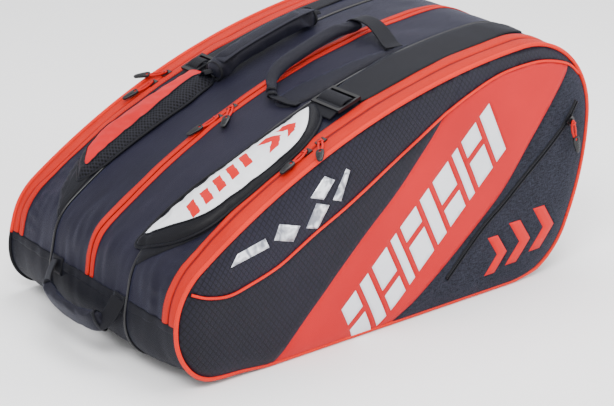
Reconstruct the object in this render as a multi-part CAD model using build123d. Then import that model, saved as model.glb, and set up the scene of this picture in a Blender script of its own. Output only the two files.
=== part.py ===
from build123d import *
import math
import os

os.makedirs("parts", exist_ok=True)

# ---------------------------------------------------------------- dimensions
# A soft racket bag lying on its long edge.  +X runs along the bag towards the
# tall round end, -Y is the front, +Z is up.  Millimetres.
X_LEFT, X_RIGHT = -375.0, 375.0      # ends of the side outline
R_BR, A_BR = 120.0, 68.0             # bottom right corner
L_RS = 18.0                          # short straight above it
R_RE, A_RE = 400.0, 22.0             # right end
R_TR, A_TR = 131.7, 93.6             # top right shoulder
A_TOP = 31.7                         # long top arc
R_TL, A_TL = 97.0, 54.7              # left shoulder
R_BL = 90.0                          # bottom left corner

Y_SEAM = 100.0                       # seams between the three compartments
Y_PANEL = 215.0                      # where the gusset meets a side panel
Y_ZIP = 190.0                        # zip of an outer compartment
Z_SPLIT = 100.0                      # horizontal seam round the ends
T_SHELL = 4.0                        # padded fabric shell
T_PLATE = 4.0                        # side panel shell
T_FOAM = 6.0                         # foam layer outside the side panel
D_MID = 7.0                          # crown of the middle compartment
D_SIDE = 2.0                         # crown of an outer compartment
D_PIPE = 4.0                         # piping stands out by this
W_PIPE = 5.0                         # piping width
D_STRAP = 9.0                        # underside of straps and pads
T_PAD = 15.0                         # shoulder pad thickness
T_WEB = 2.0                          # webbing thickness

FLAP_X0, FLAP_X1 = -94.0, 224.0      # middle opening, closed by two flaps
FLAP_Y = 50.0
SLIT = 2.0                           # half width of a zip slot
SLIT_X0, SLIT_X1 = -318.0, 246.0

PULL_L = 50.0                        # zip pull length
PULL_W = 9.2
PULL_T = 3.0

# ---------------------------------------------------------------- outline
def _s(a):
    return math.sin(math.radians(a))


def _c(a):
    return math.cos(math.radians(a))


H1 = A_BR
H2 = H1 + A_RE
H3 = H2 + A_TR
H4 = H3 + A_TOP
H5 = H4 + A_TL
X0 = X_RIGHT - (R_BR * _s(H1) + L_RS * _c(H1) + R_RE * (_s(H2) - _s(H1)))
_x4 = X_RIGHT + R_TR * (_s(H3) - _s(H2))
_x5 = X_LEFT - R_TL * (_s(H5) - _s(H4))
R_TOP = (_x5 - _x4) / (_s(H4) - _s(H3))
C_BR = (X0, R_BR)
_p1 = (X0 + R_BR * _s(H1), R_BR - R_BR * _c(H1))
_p2 = (_p1[0] + L_RS * _c(H1), _p1[1] + L_RS * _s(H1))
C_RE = (_p2[0] - R_RE * _s(H1), _p2[1] + R_RE * _c(H1))
_p3 = (C_RE[0] + R_RE * _s(H2), C_RE[1] - R_RE * _c(H2))
C_TR = (_p3[0] - R_TR * _s(H2), _p3[1] + R_TR * _c(H2))
_p4 = (C_TR[0] + R_TR * _s(H3), C_TR[1] - R_TR * _c(H3))
C_TOP = (_p4[0] - R_TOP * _s(H3), _p4[1] + R_TOP * _c(H3))
_p5 = (C_TOP[0] + R_TOP * _s(H4), C_TOP[1] - R_TOP * _c(H4))
C_TL = (_p5[0] - R_TL * _s(H4), _p5[1] + R_TL * _c(H4))
C_BL = (X_LEFT + R_BL, R_BL)

ARCS = [
    (C_BR, R_BR, 0.0, H1),
    (C_RE, R_RE, H1, H2),
    (C_TR, R_TR, H2, H3),
    (C_TOP, R_TOP, H3, H4),
    (C_TL, R_TL, H4, H5),
    (C_BL, R_BL, 270.0, 360.0),
]


def arc_pt(c, r, h):
    return (c[0] + r * _s(h), 0.0, c[1] - r * _c(h))


def outline(d):
    """closed outline of the side view, moved outwards by d"""
    edges = []
    pts = []
    for c, r, a, b in ARCS:
        p, m, q = arc_pt(c, r + d, a), arc_pt(c, r + d, (a + b) / 2), arc_pt(c, r + d, b)
        pts.append((p, m, q))
    for i, (p, m, q) in enumerate(pts):
        edges.append(Edge.make_three_point_arc(Vector(*p), Vector(*m), Vector(*q)))
        nxt = pts[(i + 1) % len(pts)][0]
        if (Vector(*nxt) - Vector(*q)).length > 1e-6:
            edges.append(Edge.make_line(Vector(*q), Vector(*nxt)))
    return Face(Wire(edges))


def rect(x0, x1, z0, z1):
    return poly([(x0, z0), (x1, z0), (x1, z1), (x0, z1)])


def poly(pts):
    v = [Vector(x, 0, z) for x, z in pts]
    return Face(Wire([Edge.make_line(v[i], v[(i + 1) % len(v)]) for i in range(len(v))]))


def faces_of(shape):
    return list(shape.faces())


def prism(shape, y0, y1):
    out = []
    for f in faces_of(shape):
        s = extrude(f, amount=y1 - y0, dir=(0, 1, 0))
        out += [x.moved(Location((0, y0, 0))) for x in s.solids()]
    return out


ABOVE = rect(-900, 900, Z_SPLIT + 1.0, 900)
BELOW = rect(-900, 900, 0.0, Z_SPLIT - 1.0)
GROUND = rect(-900, 900, 0.0, 900)


def ring(d0, d1, clip):
    return (outline(d1) - outline(d0)) & clip


def arcband(xa, xb, d0, d1, y0, y1):
    """curved strip over the long top arc between two x positions"""
    r0, r1 = R_TOP + d0, R_TOP + d1
    ta = math.asin((xa - C_TOP[0]) / R_TOP)
    tb = math.asin((xb - C_TOP[0]) / R_TOP)
    tm = (ta + tb) / 2

    def pt(r, t):
        return Vector(C_TOP[0] + r * math.sin(t), 0, C_TOP[1] + r * math.cos(t))

    w = Wire([
        Edge.make_three_point_arc(pt(r1, ta), pt(r1, tm), pt(r1, tb)),
        Edge.make_line(pt(r1, tb), pt(r0, tb)),
        Edge.make_three_point_arc(pt(r0, tb), pt(r0, tm), pt(r0, ta)),
        Edge.make_line(pt(r0, ta), pt(r1, ta)),
    ])
    return prism(Face(w), y0, y1)


def box(x0, x1, y0, y1, z0, z1):
    return Solid.make_box(x1 - x0, y1 - y0, z1 - z0).moved(Location((x0, y0, z0)))


def on_top(x):
    """frame on the long top arc at x: local X along the bag, local Z outwards"""
    phi = math.asin((x - C_TOP[0]) / R_TOP)
    return Location((C_TOP[0] + R_TOP * math.sin(phi), 0, C_TOP[1] + R_TOP * math.cos(phi)),
                    (0, math.degrees(phi), 0))


def mirror_y(solids):
    out = []
    for s in solids:
        out += list(mirror(s, about=Plane.XZ).solids())
    return out


def cut(solids, tools):
    out = []
    for s in solids:
        r = s
        for t in tools:
            r = r - t
        out += list(r.solids())
    return out


def common(solids, tool):
    out = []
    for s in solids:
        out += list((s & tool).solids())
    return out


def plan_prism(pts, z0, z1):
    v = [Vector(x, y, z0) for x, y in pts]
    f = Face(Wire([Edge.make_line(v[i], v[(i + 1) % len(v)]) for i in range(len(v))]))
    return extrude(f, amount=z1 - z0, dir=(0, 0, 1)).solids()[0]


NODES = {}


def node(name, solids):
    NODES[name] = list(solids)


def both(name, solids):
    """a piece of the near half and its twin in the far half"""
    solids = list(solids)
    node("near_" + name, solids)
    node("far_" + name, mirror_y(solids))


# ---------------------------------------------------------------- bag shell
node("mid_gusset_lower", prism(ring(-T_SHELL, 0, BELOW), -Y_SEAM + 2, Y_SEAM - 2))
both("gusset_lower", prism(ring(-T_SHELL, 0, BELOW), -Y_PANEL, -Y_SEAM - 2))

mid_up = prism(ring(D_MID - T_SHELL, D_MID, ABOVE), -Y_SEAM + 2, Y_SEAM - 2)
mid_up = cut(mid_up, [
    *arcband(FLAP_X0 - 1.5, FLAP_X1 + 1.5, -8, 20, -FLAP_Y - 1.5, FLAP_Y + 1.5),
    box(SLIT_X0, SLIT_X1, -SLIT, SLIT, 150, 420),
])
node("mid_gusset_upper", mid_up)
both("gusset_upper", prism(ring(D_SIDE - T_SHELL, D_SIDE, ABOVE), -Y_ZIP + SLIT, -Y_SEAM - 2))

both("divider", prism(outline(-T_SHELL - 0.5), -Y_SEAM - 1, -Y_SEAM + 1))
seam = prism(ring(-T_SHELL, D_PIPE, BELOW), -Y_SEAM - 2, -Y_SEAM + 2)
seam += prism(ring(-T_SHELL, D_MID + 1.5, ABOVE), -Y_SEAM - 2, -Y_SEAM + 2)
both("seam_piping", seam)
node("base_board", [box(-284, 222, -94, 94, T_SHELL + 0.5, T_SHELL + 3.5)])

# ---------------------------------------------------------------- side panels
Y_FACE = Y_PANEL + T_PLATE
both("side_panel_lower", prism(outline(0) & BELOW, -Y_FACE, -Y_PANEL))
both("side_piping_lower",
     prism(ring(-T_SHELL, D_PIPE, BELOW), -Y_FACE - W_PIPE, -Y_FACE))
both("side_panel", prism(outline(0) & ABOVE, -Y_FACE, -Y_PANEL))
both("panel_rim", prism(ring(-T_SHELL, 0, ABOVE), -Y_PANEL, -Y_ZIP - SLIT))
both("side_piping_upper",
     prism(ring(-T_SHELL, D_PIPE, ABOVE), -Y_FACE - W_PIPE, -Y_FACE))
foam_clip = rect(-900, 900, Z_SPLIT + 4.0, 900)
both("panel_foam", prism(outline(-24) & foam_clip, -Y_FACE - T_FOAM, -Y_FACE))
pocket = poly([(150, 104), (332, 104), (345, 170), (347, 240), (330, 258), (300, 226),
               (235, 172), (160, 114)])
node("near_pocket", prism(pocket & outline(-24), -Y_FACE - T_FOAM - 3, -Y_FACE - T_FOAM))

# ---------------------------------------------------------------- zip tapes
both("zip_tape_panel", prism(ring(0, 1, ABOVE), -Y_PANEL, -Y_ZIP - SLIT))
both("zip_tape_body", prism(ring(D_SIDE, D_SIDE + 1, ABOVE), -Y_ZIP + SLIT, -Y_ZIP + 23))
mid_tape = prism(ring(D_MID, D_MID + 1, ABOVE), -11, 11)
mid_tape = cut(mid_tape, [
    *arcband(FLAP_X0 - 1.5, FLAP_X1 + 1.5, -8, 20, -12, 12),
    box(SLIT_X0, SLIT_X1, -SLIT, SLIT, 150, 420),
])
node("mid_zip_tape", mid_tape)

flap = arcband(FLAP_X0, FLAP_X1, D_MID - T_SHELL, D_MID, -FLAP_Y, -SLIT - 2.0)
node("mid_flap_near", flap)
node("mid_flap_far", mirror_y(flap))


# ---------------------------------------------------------------- zip sliders
def slider(x, y, top, inner):
    """slider body: top plate, keel, bottom plate and bridge"""
    t = top + 0.6
    b = [
        box(-7.5, 7.5, -5.5, 5.5, t, t + 2.5),
        box(-5, 5, -1.4, 1.4, inner - 2, t + 0.5),
        box(-7.5, 7.5, -5.5, 5.5, inner - 3.5, inner - 1),
        box(-3.4, 3.4, -0.8, 0.8, t + 2.0, t + 6.2),
    ]
    s = b[0]
    for o in b[1:]:
        s = s + o
    s = s - box(-2.3, 2.3, -3, 3, t + 2.9, t + 5.1)
    return [q.moved(on_top(x) * Location((0, y, 0))) for q in s.solids()]


def pull(x, y, top, yaw):
    """zip pull: cross pin in the bridge, two prongs and a tab"""
    w = top + 0.6 + 4.0
    pin = Solid.make_cylinder(0.8, 9.0).moved(Location((0, 4.5, 0), (90, 0, 0)))
    s = pin + box(-12, 0.6, 3.4, 4.6, -0.7, 0.9) + box(-12, 0.6, -4.6, -3.4, -0.7, 0.9)
    s = s + box(-PULL_L, -11, -PULL_W / 2, PULL_W / 2, -PULL_T / 2 + 0.6, PULL_T / 2 + 0.6)
    loc = on_top(x) * Location((0, y, w), (0, 0, yaw))
    return [q.moved(loc) for q in s.solids()]


SIDE_TOP, SIDE_IN = D_SIDE + 1, -T_SHELL
MID_TOP, MID_IN = D_MID + 1, D_MID - T_SHELL
NEAR_B, NEAR_A = -112.0, -137.0
MID_B, MID_A = -123.0, -148.0
both("slider_left", slider(NEAR_A, -Y_ZIP, SIDE_TOP, SIDE_IN))
both("slider_right", slider(NEAR_B, -Y_ZIP, SIDE_TOP, SIDE_IN))
both("pull_left", pull(NEAR_A, -Y_ZIP, SIDE_TOP, 8))
both("pull_right", pull(NEAR_B, -Y_ZIP, SIDE_TOP, 50))
node("mid_slider_left", slider(MID_A, 0, MID_TOP, MID_IN))
node("mid_slider_right", slider(MID_B, 0, MID_TOP, MID_IN))
node("mid_pull_left", pull(MID_A, 0, MID_TOP, -8))
node("mid_pull_right", pull(MID_B, 0, MID_TOP, 38))

# pocket zip: slider and pull on the front of the near panel
PK0, PK1 = (326.0, 246.0), (150.0, 108.0)
PK_Y = -Y_FACE - T_FOAM - 3
pk_ang = math.degrees(math.atan2(PK0[1] - PK1[1], PK0[0] - PK1[0]))
pk = box(-7, 7, -4.5, -0.4, -4.5, 4.5) + box(-3.5, 3.5, -7.0, -4.0, -1.2, 1.2)
node("pocket_slider", [q.moved(Location((PK0[0], PK_Y, PK0[1]), (0, -pk_ang, 0)))
                       for q in pk.solids()])
pp = box(-3.5, 3.5, -10.5, -7.6, -52, 5)
node("pocket_pull", [q.moved(Location((PK0[0], PK_Y, PK0[1]), (0, -14, 0)))
                     for q in pp.solids()])

# ---------------------------------------------------------------- straps
near_pad = [(-300, -78), (-250, -92), (-177, -108), (-100, -114), (-76, -118), (-74, -142),
            (-95, -160), (-130, -172), (-175, -179), (-210, -179), (-262, -174), (-310, -166),
            (-326, -140), (-326, -95)]
far_pad = [(-312, 118), (-250, 104), (-192, 90), (-128, 88), (-120, 112), (-122, 140),
           (-174, 150), (-242, 156), (-285, 146), (-312, 130)]


def pad(pts, sgn):
    y0, y1 = (-200, -60) if sgn < 0 else (60, 200)
    base = arcband(-330, -60, D_STRAP, D_STRAP + T_PAD, y0, y1)
    return common(base, plan_prism(pts, 100, 450))


node("near_shoulder_pad", pad(near_pad, -1))
node("far_shoulder_pad", pad(far_pad, 1))


def strap_lower(y0, y1):
    clip = rect(-420, -331.5, 138, 210)
    return prism(ring(D_STRAP, D_STRAP + T_WEB, clip), y0, y1)


node("near_strap_lower", strap_lower(-150, -95))
node("far_strap_lower", strap_lower(104, 140))
node("near_strap_upper", arcband(-66, 240, D_STRAP, D_STRAP + T_WEB, -170, -104))
node("far_strap_upper", arcband(-104, 225, D_STRAP, D_STRAP + T_WEB, 128, 164))
LOCK_NEAR, LOCK_FAR = -44.0, -80.0


def ladder_lock(x, yc, half):
    w = D_STRAP + T_WEB + 0.6
    s = box(-21, 21, -half, half, w, w + 4.5)
    s = s - box(-15, -3, -half + 4, half - 4, w - 1, w + 6)
    s = s - box(3, 16, -half + 4, half - 4, w - 1, w + 6)
    return [q.moved(on_top(x) * Location((0, yc, 0))) for q in s.solids()]


node("near_ladder_lock", ladder_lock(LOCK_NEAR, -140, 31))
node("far_ladder_lock", ladder_lock(LOCK_FAR, 146, 17.5))


# ---------------------------------------------------------------- carry handles
def yz_strip(pts, t, width):
    """bent webbing: a line of (y, z) points made t thick, width along X"""
    up, dn = [], []
    n = len(pts)
    for i, (y, z) in enumerate(pts):
        a = pts[max(i - 1, 0)]
        b = pts[min(i + 1, n - 1)]
        l = math.hypot(b[0] - a[0], b[1] - a[1])
        ny, nz = -(b[1] - a[1]) / l, (b[0] - a[0]) / l
        up.append((y + ny * t / 2, z + nz * t / 2))
        dn.append((y - ny * t / 2, z - nz * t / 2))
    v = [Vector(-width / 2, y, z) for y, z in up + dn[::-1]]
    f = Face(Wire([Edge.make_line(v[i], v[(i + 1) % len(v)]) for i in range(len(v))]))
    return list(extrude(f, amount=width, dir=(1, 0, 0)).solids())


NH_X0, NH_X1, NH_W = -86.0, 108.0, 28.0
leg_line = [(-90, 10.5), (-70, 10.5), (-48, 20), (-19, 24.5)]
legs = []
for x in (NH_X0, NH_X1):
    legs += [q.moved(on_top(x)) for q in yz_strip(leg_line, 3.0, NH_W)]
node("near_handle_webbing", legs)
node("near_handle_grip", arcband(NH_X0 - NH_W / 2, NH_X1 + NH_W / 2, 18.5, 30.5, -18.4, 9))

FH_X0, FH_X1 = -110.0, 95.0
far_web = arcband(FH_X0, FH_X0 + 14, 12, 15, 80, 112) + arcband(FH_X1 - 14, FH_X1, 12, 15, 80, 112)
node("far_handle_webbing", far_web)
node("far_handle_sleeve", arcband(FH_X0 + 14.4, FH_X1 - 14.4, 11, 37, 68, 106))

# end grab handle, hanging from two feet under the left end seam
EH_X, EH_Z = X_LEFT - 3.5, 95.0
EH_Y = 81.0
lug = []
for y in (-EH_Y, EH_Y):
    lug += [box(X_LEFT - 2.5, X_LEFT, y - 14, y + 14, 84, 99)]
node("end_handle_tabs", lug)
web = []
for y in (-EH_Y, EH_Y):
    v = [(X_LEFT - 3.1, 97), (X_LEFT - 6.1, 97), (X_LEFT - 33, 66), (X_LEFT - 31, 63.5)]
    web += prism(poly(v), y - 12, y + 12)
node("end_handle_webbing", web)
grip = poly([(X_LEFT - 35, 69), (X_LEFT - 31, 49), (X_LEFT - 20, 47), (X_LEFT - 16, 52),
             (X_LEFT - 22.5, 60), (X_LEFT - 31.5, 70)])
gp = cut(prism(grip, -EH_Y - 14, EH_Y + 14), web)
gp = sorted(gp, key=lambda s: -s.volume)[:1]
node("end_handle_grip", gp)

# ---------------------------------------------------------------- write
for name, solids in NODES.items():
    shape = solids[0] if len(solids) == 1 else Compound(children=solids)
    export_step(shape, f"parts/{name}.step")
print(len(NODES), "nodes written")
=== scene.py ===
import bpy, bmesh, math
import numpy as np
from mathutils import Vector, Matrix, noise
from mathutils.geometry import delaunay_2d_cdt


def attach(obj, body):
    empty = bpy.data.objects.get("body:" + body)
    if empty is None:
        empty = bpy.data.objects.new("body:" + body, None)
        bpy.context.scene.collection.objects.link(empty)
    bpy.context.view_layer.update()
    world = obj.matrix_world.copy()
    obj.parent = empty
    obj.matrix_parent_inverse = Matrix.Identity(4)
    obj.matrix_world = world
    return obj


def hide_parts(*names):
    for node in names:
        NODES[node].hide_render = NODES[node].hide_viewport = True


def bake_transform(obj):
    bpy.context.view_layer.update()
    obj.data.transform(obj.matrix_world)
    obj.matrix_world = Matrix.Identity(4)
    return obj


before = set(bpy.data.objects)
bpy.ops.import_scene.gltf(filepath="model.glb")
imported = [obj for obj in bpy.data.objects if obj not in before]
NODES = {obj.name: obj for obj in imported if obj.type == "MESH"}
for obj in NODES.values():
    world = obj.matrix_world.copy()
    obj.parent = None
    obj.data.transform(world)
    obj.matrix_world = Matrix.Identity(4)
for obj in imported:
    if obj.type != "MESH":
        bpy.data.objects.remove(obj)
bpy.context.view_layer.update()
MM = 0.001

# ------------------------------------------------------------------ camera, light, floor
cam = bpy.data.objects.new("camera", bpy.data.cameras.new("camera"))
bpy.context.scene.collection.objects.link(cam)
cr, cu, cb = (0.79246, -0.60993, 0.0), (0.22704, 0.29499, 0.92814), (-0.56610, -0.73551, 0.37224)
cam.matrix_world = Matrix(((cr[0], cu[0], cb[0], -1.59316), (cr[1], cu[1], cb[1], -2.08084),
                           (cr[2], cu[2], cb[2], 1.17058), (0, 0, 0, 1)))
cam.data.sensor_width = 36.0
cam.data.lens = 109.705
cam.data.clip_start, cam.data.clip_end = 0.05, 50
bpy.context.scene.camera = cam


# ------------------------------------------------------------------ side outline of the bag (mm)
def _s(a): return math.sin(math.radians(a))
def _c(a): return math.cos(math.radians(a))


H1, H2, H3, H4, H5 = 68.0, 90.0, 183.6, 215.3, 270.0
X0 = 375 - (120 * _s(H1) + 18 * _c(H1) + 400 * (1 - _s(H1)))
_x4 = 375 + 131.7 * (_s(H3) - 1)
_x5 = -375 - 97 * (-1 - _s(H4))
RT = (_x5 - _x4) / (_s(H4) - _s(H3))
_p1 = (X0 + 120 * _s(H1), 120 - 120 * _c(H1))
_p2 = (_p1[0] + 18 * _c(H1), _p1[1] + 18 * _s(H1))
CRE = (_p2[0] - 400 * _s(H1), _p2[1] + 400 * _c(H1))
_p3 = (CRE[0] + 400, CRE[1])
CTR = (_p3[0] - 131.7, _p3[1])
_p4 = (CTR[0] + 131.7 * _s(H3), CTR[1] - 131.7 * _c(H3))
CT = (_p4[0] - RT * _s(H3), _p4[1] + RT * _c(H3))
_p5 = (CT[0] + RT * _s(H4), CT[1] - RT * _c(H4))
CTL = (_p5[0] - 97 * _s(H4), _p5[1] + 97 * _c(H4))
CBL = (-285.0, 90.0)
SEG = []          # (length, kind, centre or start, radius, heading0, heading1)
_r = math.radians
SEG.append((120 * _r(H1), 'a', (X0, 120.0), 120.0, 0.0, _r(H1)))
SEG.append((18.0, 'l', _p1, 0, _r(H1), _r(H1)))
SEG.append((400 * _r(22), 'a', CRE, 400.0, _r(H1), _r(H2)))
SEG.append((131.7 * _r(93.6), 'a', CTR, 131.7, _r(H2), _r(H3)))
SEG.append((RT * _r(31.7), 'a', CT, RT, _r(H3), _r(H4)))
SEG.append((97 * _r(54.7), 'a', CTL, 97.0, _r(H4), _r(H5)))
SEG.append((CTL[1] - 90.0, 'l', (-375.0, CTL[1]), 0, _r(270), _r(270)))
SEG.append((90 * _r(90), 'a', CBL, 90.0, _r(270), _r(360)))
SEG.append((X0 + 285.0, 'l', (-285.0, 0.0), 0, _r(360), _r(360)))
CUM = np.cumsum([0] + [q[0] for q in SEG])
TOTAL = float(CUM[-1])


def tuck(s, y):
    """the lower left corner fills out behind its near edge (negative), and lifts a little at that edge (positive)"""
    v = np.clip((s - CUM[7] + 34) / (CUM[8] - CUM[7] + 30), 0, 1)
    u = np.clip((s - CUM[8] + 75) / 141.0, 0, 1)
    y = np.asarray(y, float)
    return (-12.0 * np.sin(np.pi * v) ** 2 * smooth_((y + 217.0) / 95.0)
            + 7.0 * np.sin(np.pi * u) ** 2 * smooth_((-150.0 - y) / 60.0))


def smooth_(t):
    t = np.clip(t, 0, 1)
    return t * t * (3 - 2 * t)


def prof(s, d=0.0, y=-217.0):
    """point (x, z) and outward normal (nx, nz) on the outline at arc length s, moved out by d"""
    s = np.mod(np.asarray(s, float), TOTAL)
    d = np.asarray(d, float) + 0 * s - tuck(s, y)
    x, z, nx, nz = (np.zeros_like(s) for _ in range(4))
    k = np.clip(np.searchsorted(CUM, s, side='right') - 1, 0, len(SEG) - 1)
    for i, (L, kind, c, r, h0, h1) in enumerate(SEG):
        m = k == i
        if not m.any():
            continue
        t = (s[m] - CUM[i]) / L
        h = h0 + (h1 - h0) * t
        n0, n1 = np.sin(h), -np.cos(h)
        if kind == 'a':
            x[m], z[m] = c[0] + r * n0, c[1] + r * n1
        else:
            x[m] = c[0] + (s[m] - CUM[i]) * math.cos(h0)
            z[m] = c[1] + (s[m] - CUM[i]) * math.sin(h0)
        nx[m], nz[m] = n0, n1
    return x + nx * d, z + nz * d, nx, nz


_SS = np.linspace(0, TOTAL, 6001)[:-1]
_PX, _PZ, _NX, _NZ = prof(_SS)


def s_of(x, z):
    """arc length of the outline point nearest to (x, z)"""
    x, z = np.atleast_1d(np.asarray(x, float)), np.atleast_1d(np.asarray(z, float))
    return _SS[np.argmin((x[:, None] - _PX) ** 2 + (z[:, None] - _PZ) ** 2, axis=1)]


def edge_dist(x, z):
    x, z = np.asarray(x, float), np.asarray(z, float)
    out = np.empty(len(x))
    for i in range(0, len(x), 2000):
        out[i:i + 2000] = np.sqrt(((x[i:i + 2000, None] - _PX[::4]) ** 2 +
                                   (z[i:i + 2000, None] - _PZ[::4]) ** 2).min(1))
    return out


def smooth(t):
    t = np.clip(t, 0, 1)
    return t * t * (3 - 2 * t)


_zz = _PZ - 100
_cross = np.where(np.sign(_zz[:-1]) != np.sign(_zz[1:]))[0]
S_R, S_L = float(_SS[_cross[0]]), float(_SS[_cross[1]])     # where the outline is 100 mm high
S_RT = float(CUM[4])                                        # start of the long top arc
S_LT = float(CUM[5])


def top_factor(s):
    x, z, _, _ = prof(s)
    return smooth((z - 100) / 62.0)


def crown(y):
    a = np.abs(y)
    c = np.where(a <= 100, 7 + 1.3 * (1 - (a / 100) ** 2), 7 * (1 - np.clip((a - 100) / 115, 0, 1) ** 1.6))
    return c - 1.6 * np.exp(-((a - 100) / 5.0) ** 2)


def fbm(p, scale, seed, octaves=3):
    """smooth noise at points p (n, 3) in mm"""
    out = np.empty(len(p))
    for i, q in enumerate(p):
        out[i] = noise.fractal(Vector((q[0] / scale + seed, q[1] / scale, q[2] / scale)), 0.9, 2.0, octaves)
    return out


def folds(s, y):
    """soft wrinkles of the gusset cloth, strongest at the low left end"""
    s, y = np.atleast_1d(s), np.atleast_1d(y)
    x, z, _, _ = prof(s)
    left = smooth((-250 - x) / 100.0)
    right = smooth((x - 300) / 60.0)
    p = np.stack([s * 0.45, y * 1.5, 0 * s], 1)
    n1 = fbm(p, 34, 3.7, 2)
    n2 = fbm(np.stack([s, y, 0 * s], 1), 75, 9.1, 2)
    edge = smooth((np.minimum(np.abs(np.abs(y) - 100), np.abs(217 - np.abs(y)))) / 26.0)
    a = np.abs(y)
    puck = np.exp(-((a - 164) / 13.0) ** 2) * smooth((-255 - x) / 70.0) * (z > 112)
    puck = puck * np.sin(s / 3.1 + 2.6 * n2 + a / 21.0) * (0.9 + 1.5 * n1)
    return edge * (n1 * (1.9 * left + 1.0 * right + 0.4) + n2 * 1.5) + 1.15 * puck


def place(s, y, h):
    """3-D point on the bag's skin at (s, y), h above it"""
    s, y, h = np.broadcast_arrays(np.asarray(s, float), np.asarray(y, float), np.asarray(h, float))
    d = top_factor(s) * crown(y) + h
    x, z, _, _ = prof(s, d, y)
    return np.stack([x, y + 0 * x, np.maximum(z, 0.3)], -1)


# ------------------------------------------------------------------ mesh helpers
def new_mesh(name, verts, faces, fab=None, smooth_shade=True):
    me = bpy.data.meshes.new(name)
    me.from_pydata([tuple(v) for v in np.asarray(verts, float) * MM], [], [tuple(int(i) for i in f) for f in faces])
    me.validate()
    me.update()
    if fab is not None:
        a = me.attributes.new("fab", "FLOAT_VECTOR", "POINT")
        fab = np.asarray(fab, float)
        if fab.shape[1] == 2:
            fab = np.c_[fab, np.zeros(len(fab))]
        a.data.foreach_set("vector", (fab * MM).astype(np.float32).ravel())
    if smooth_shade:
        me.polygons.foreach_set("use_smooth", [True] * len(me.polygons))
    ob = bpy.data.objects.new(name, me)
    bpy.context.scene.collection.objects.link(ob)
    return ob


def solid(ob, t, offset=-1.0, rim=True):
    m = ob.modifiers.new("thickness", "SOLIDIFY")
    m.thickness = t * MM
    m.offset = offset
    m.use_even_offset = False
    m.use_rim = rim
    return ob


def outward(ob, ref=(0, 0, 0.15)):
    """make face normals point away from the middle of the bag"""
    me = ob.data
    c = Vector(ref)
    tot = 0.0
    for p in me.polygons:
        v = p.center - c
        tot += p.normal.dot(v) * p.area
    if tot < 0:
        me.flip_normals()
    return ob


def grid(name, S, Y, h, fold=1.0):
    """skin patch over arc lengths S and widths Y; h is a number or function of (s, y)"""
    S, Y = np.asarray(S, float), np.asarray(Y, float)
    ss, yy = np.meshgrid(S, Y, indexing='ij')
    s, y = ss.ravel(), yy.ravel()
    hh = h(s, y) if callable(h) else np.full(len(s), float(h))
    if fold:
        hh = hh + fold * folds(s, y)
    v = place(s, y, hh)
    n, m = len(S), len(Y)
    f = [(i * m + j, i * m + j + 1, (i + 1) * m + j + 1, (i + 1) * m + j) for i in range(n - 1) for j in range(m - 1)]
    ob = new_mesh(name, v, f, np.c_[s, y])
    return outward(ob)


def frames(pts, closed, up0):
    p = np.asarray(pts, float)
    n = len(p)
    t = np.zeros_like(p)
    for i in range(n):
        a, b = (p[(i - 1) % n], p[(i + 1) % n]) if closed else (p[max(i - 1, 0)], p[min(i + 1, n - 1)])
        t[i] = (b - a) / (np.linalg.norm(b - a) + 1e-12)
    u = np.asarray(up0, float)
    us = []
    for i in range(n):
        u = u - t[i] * (u @ t[i])
        u = u / (np.linalg.norm(u) + 1e-12)
        us.append(u.copy())
    return p, t, np.array(us)


def tube(name, pts, r, closed=False, seg=12, ry=None, up=(0, 0, 1), caps=True, squash_fn=None, twist=None):
    """round or oval tube along pts (mm); r along the up direction, ry across it"""
    p, t, u = frames(pts, closed, up)
    ry = r if ry is None else ry
    n = len(p)
    rr = np.broadcast_to(np.asarray(r, float), (n,)).copy()
    rw = np.broadcast_to(np.asarray(ry, float), (n,)).copy()
    verts, fab = [], []
    L = np.r_[0, np.cumsum(np.linalg.norm(np.diff(p, axis=0), axis=1))]
    for i in range(n):
        w = np.cross(t[i], u[i])
        for k in range(seg):
            a = 2 * math.pi * k / seg
            ca, sa = math.cos(a), math.sin(a)
            if squash_fn:
                ca, sa = squash_fn(ca, sa)
            verts.append(p[i] + u[i] * rr[i] * ca + w * rw[i] * sa)
            fab.append((L[i], a * (rr[i] + rw[i]) / 2))
    f = []
    m = n if closed else n - 1
    for i in range(m):
        j = (i + 1) % n
        for k in range(seg):
            l = (k + 1) % seg
            f.append((i * seg + k, j * seg + k, j * seg + l, i * seg + l))
    if not closed and caps:
        f.append(tuple(range(seg)))
        f.append(tuple((n - 1) * seg + k for k in range(seg))[::-1])
    ob = new_mesh(name, verts, f, fab)
    bm = bmesh.new(); bm.from_mesh(ob.data); bmesh.ops.recalc_face_normals(bm, faces=bm.faces)
    bm.to_mesh(ob.data); bm.free()
    return ob


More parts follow.
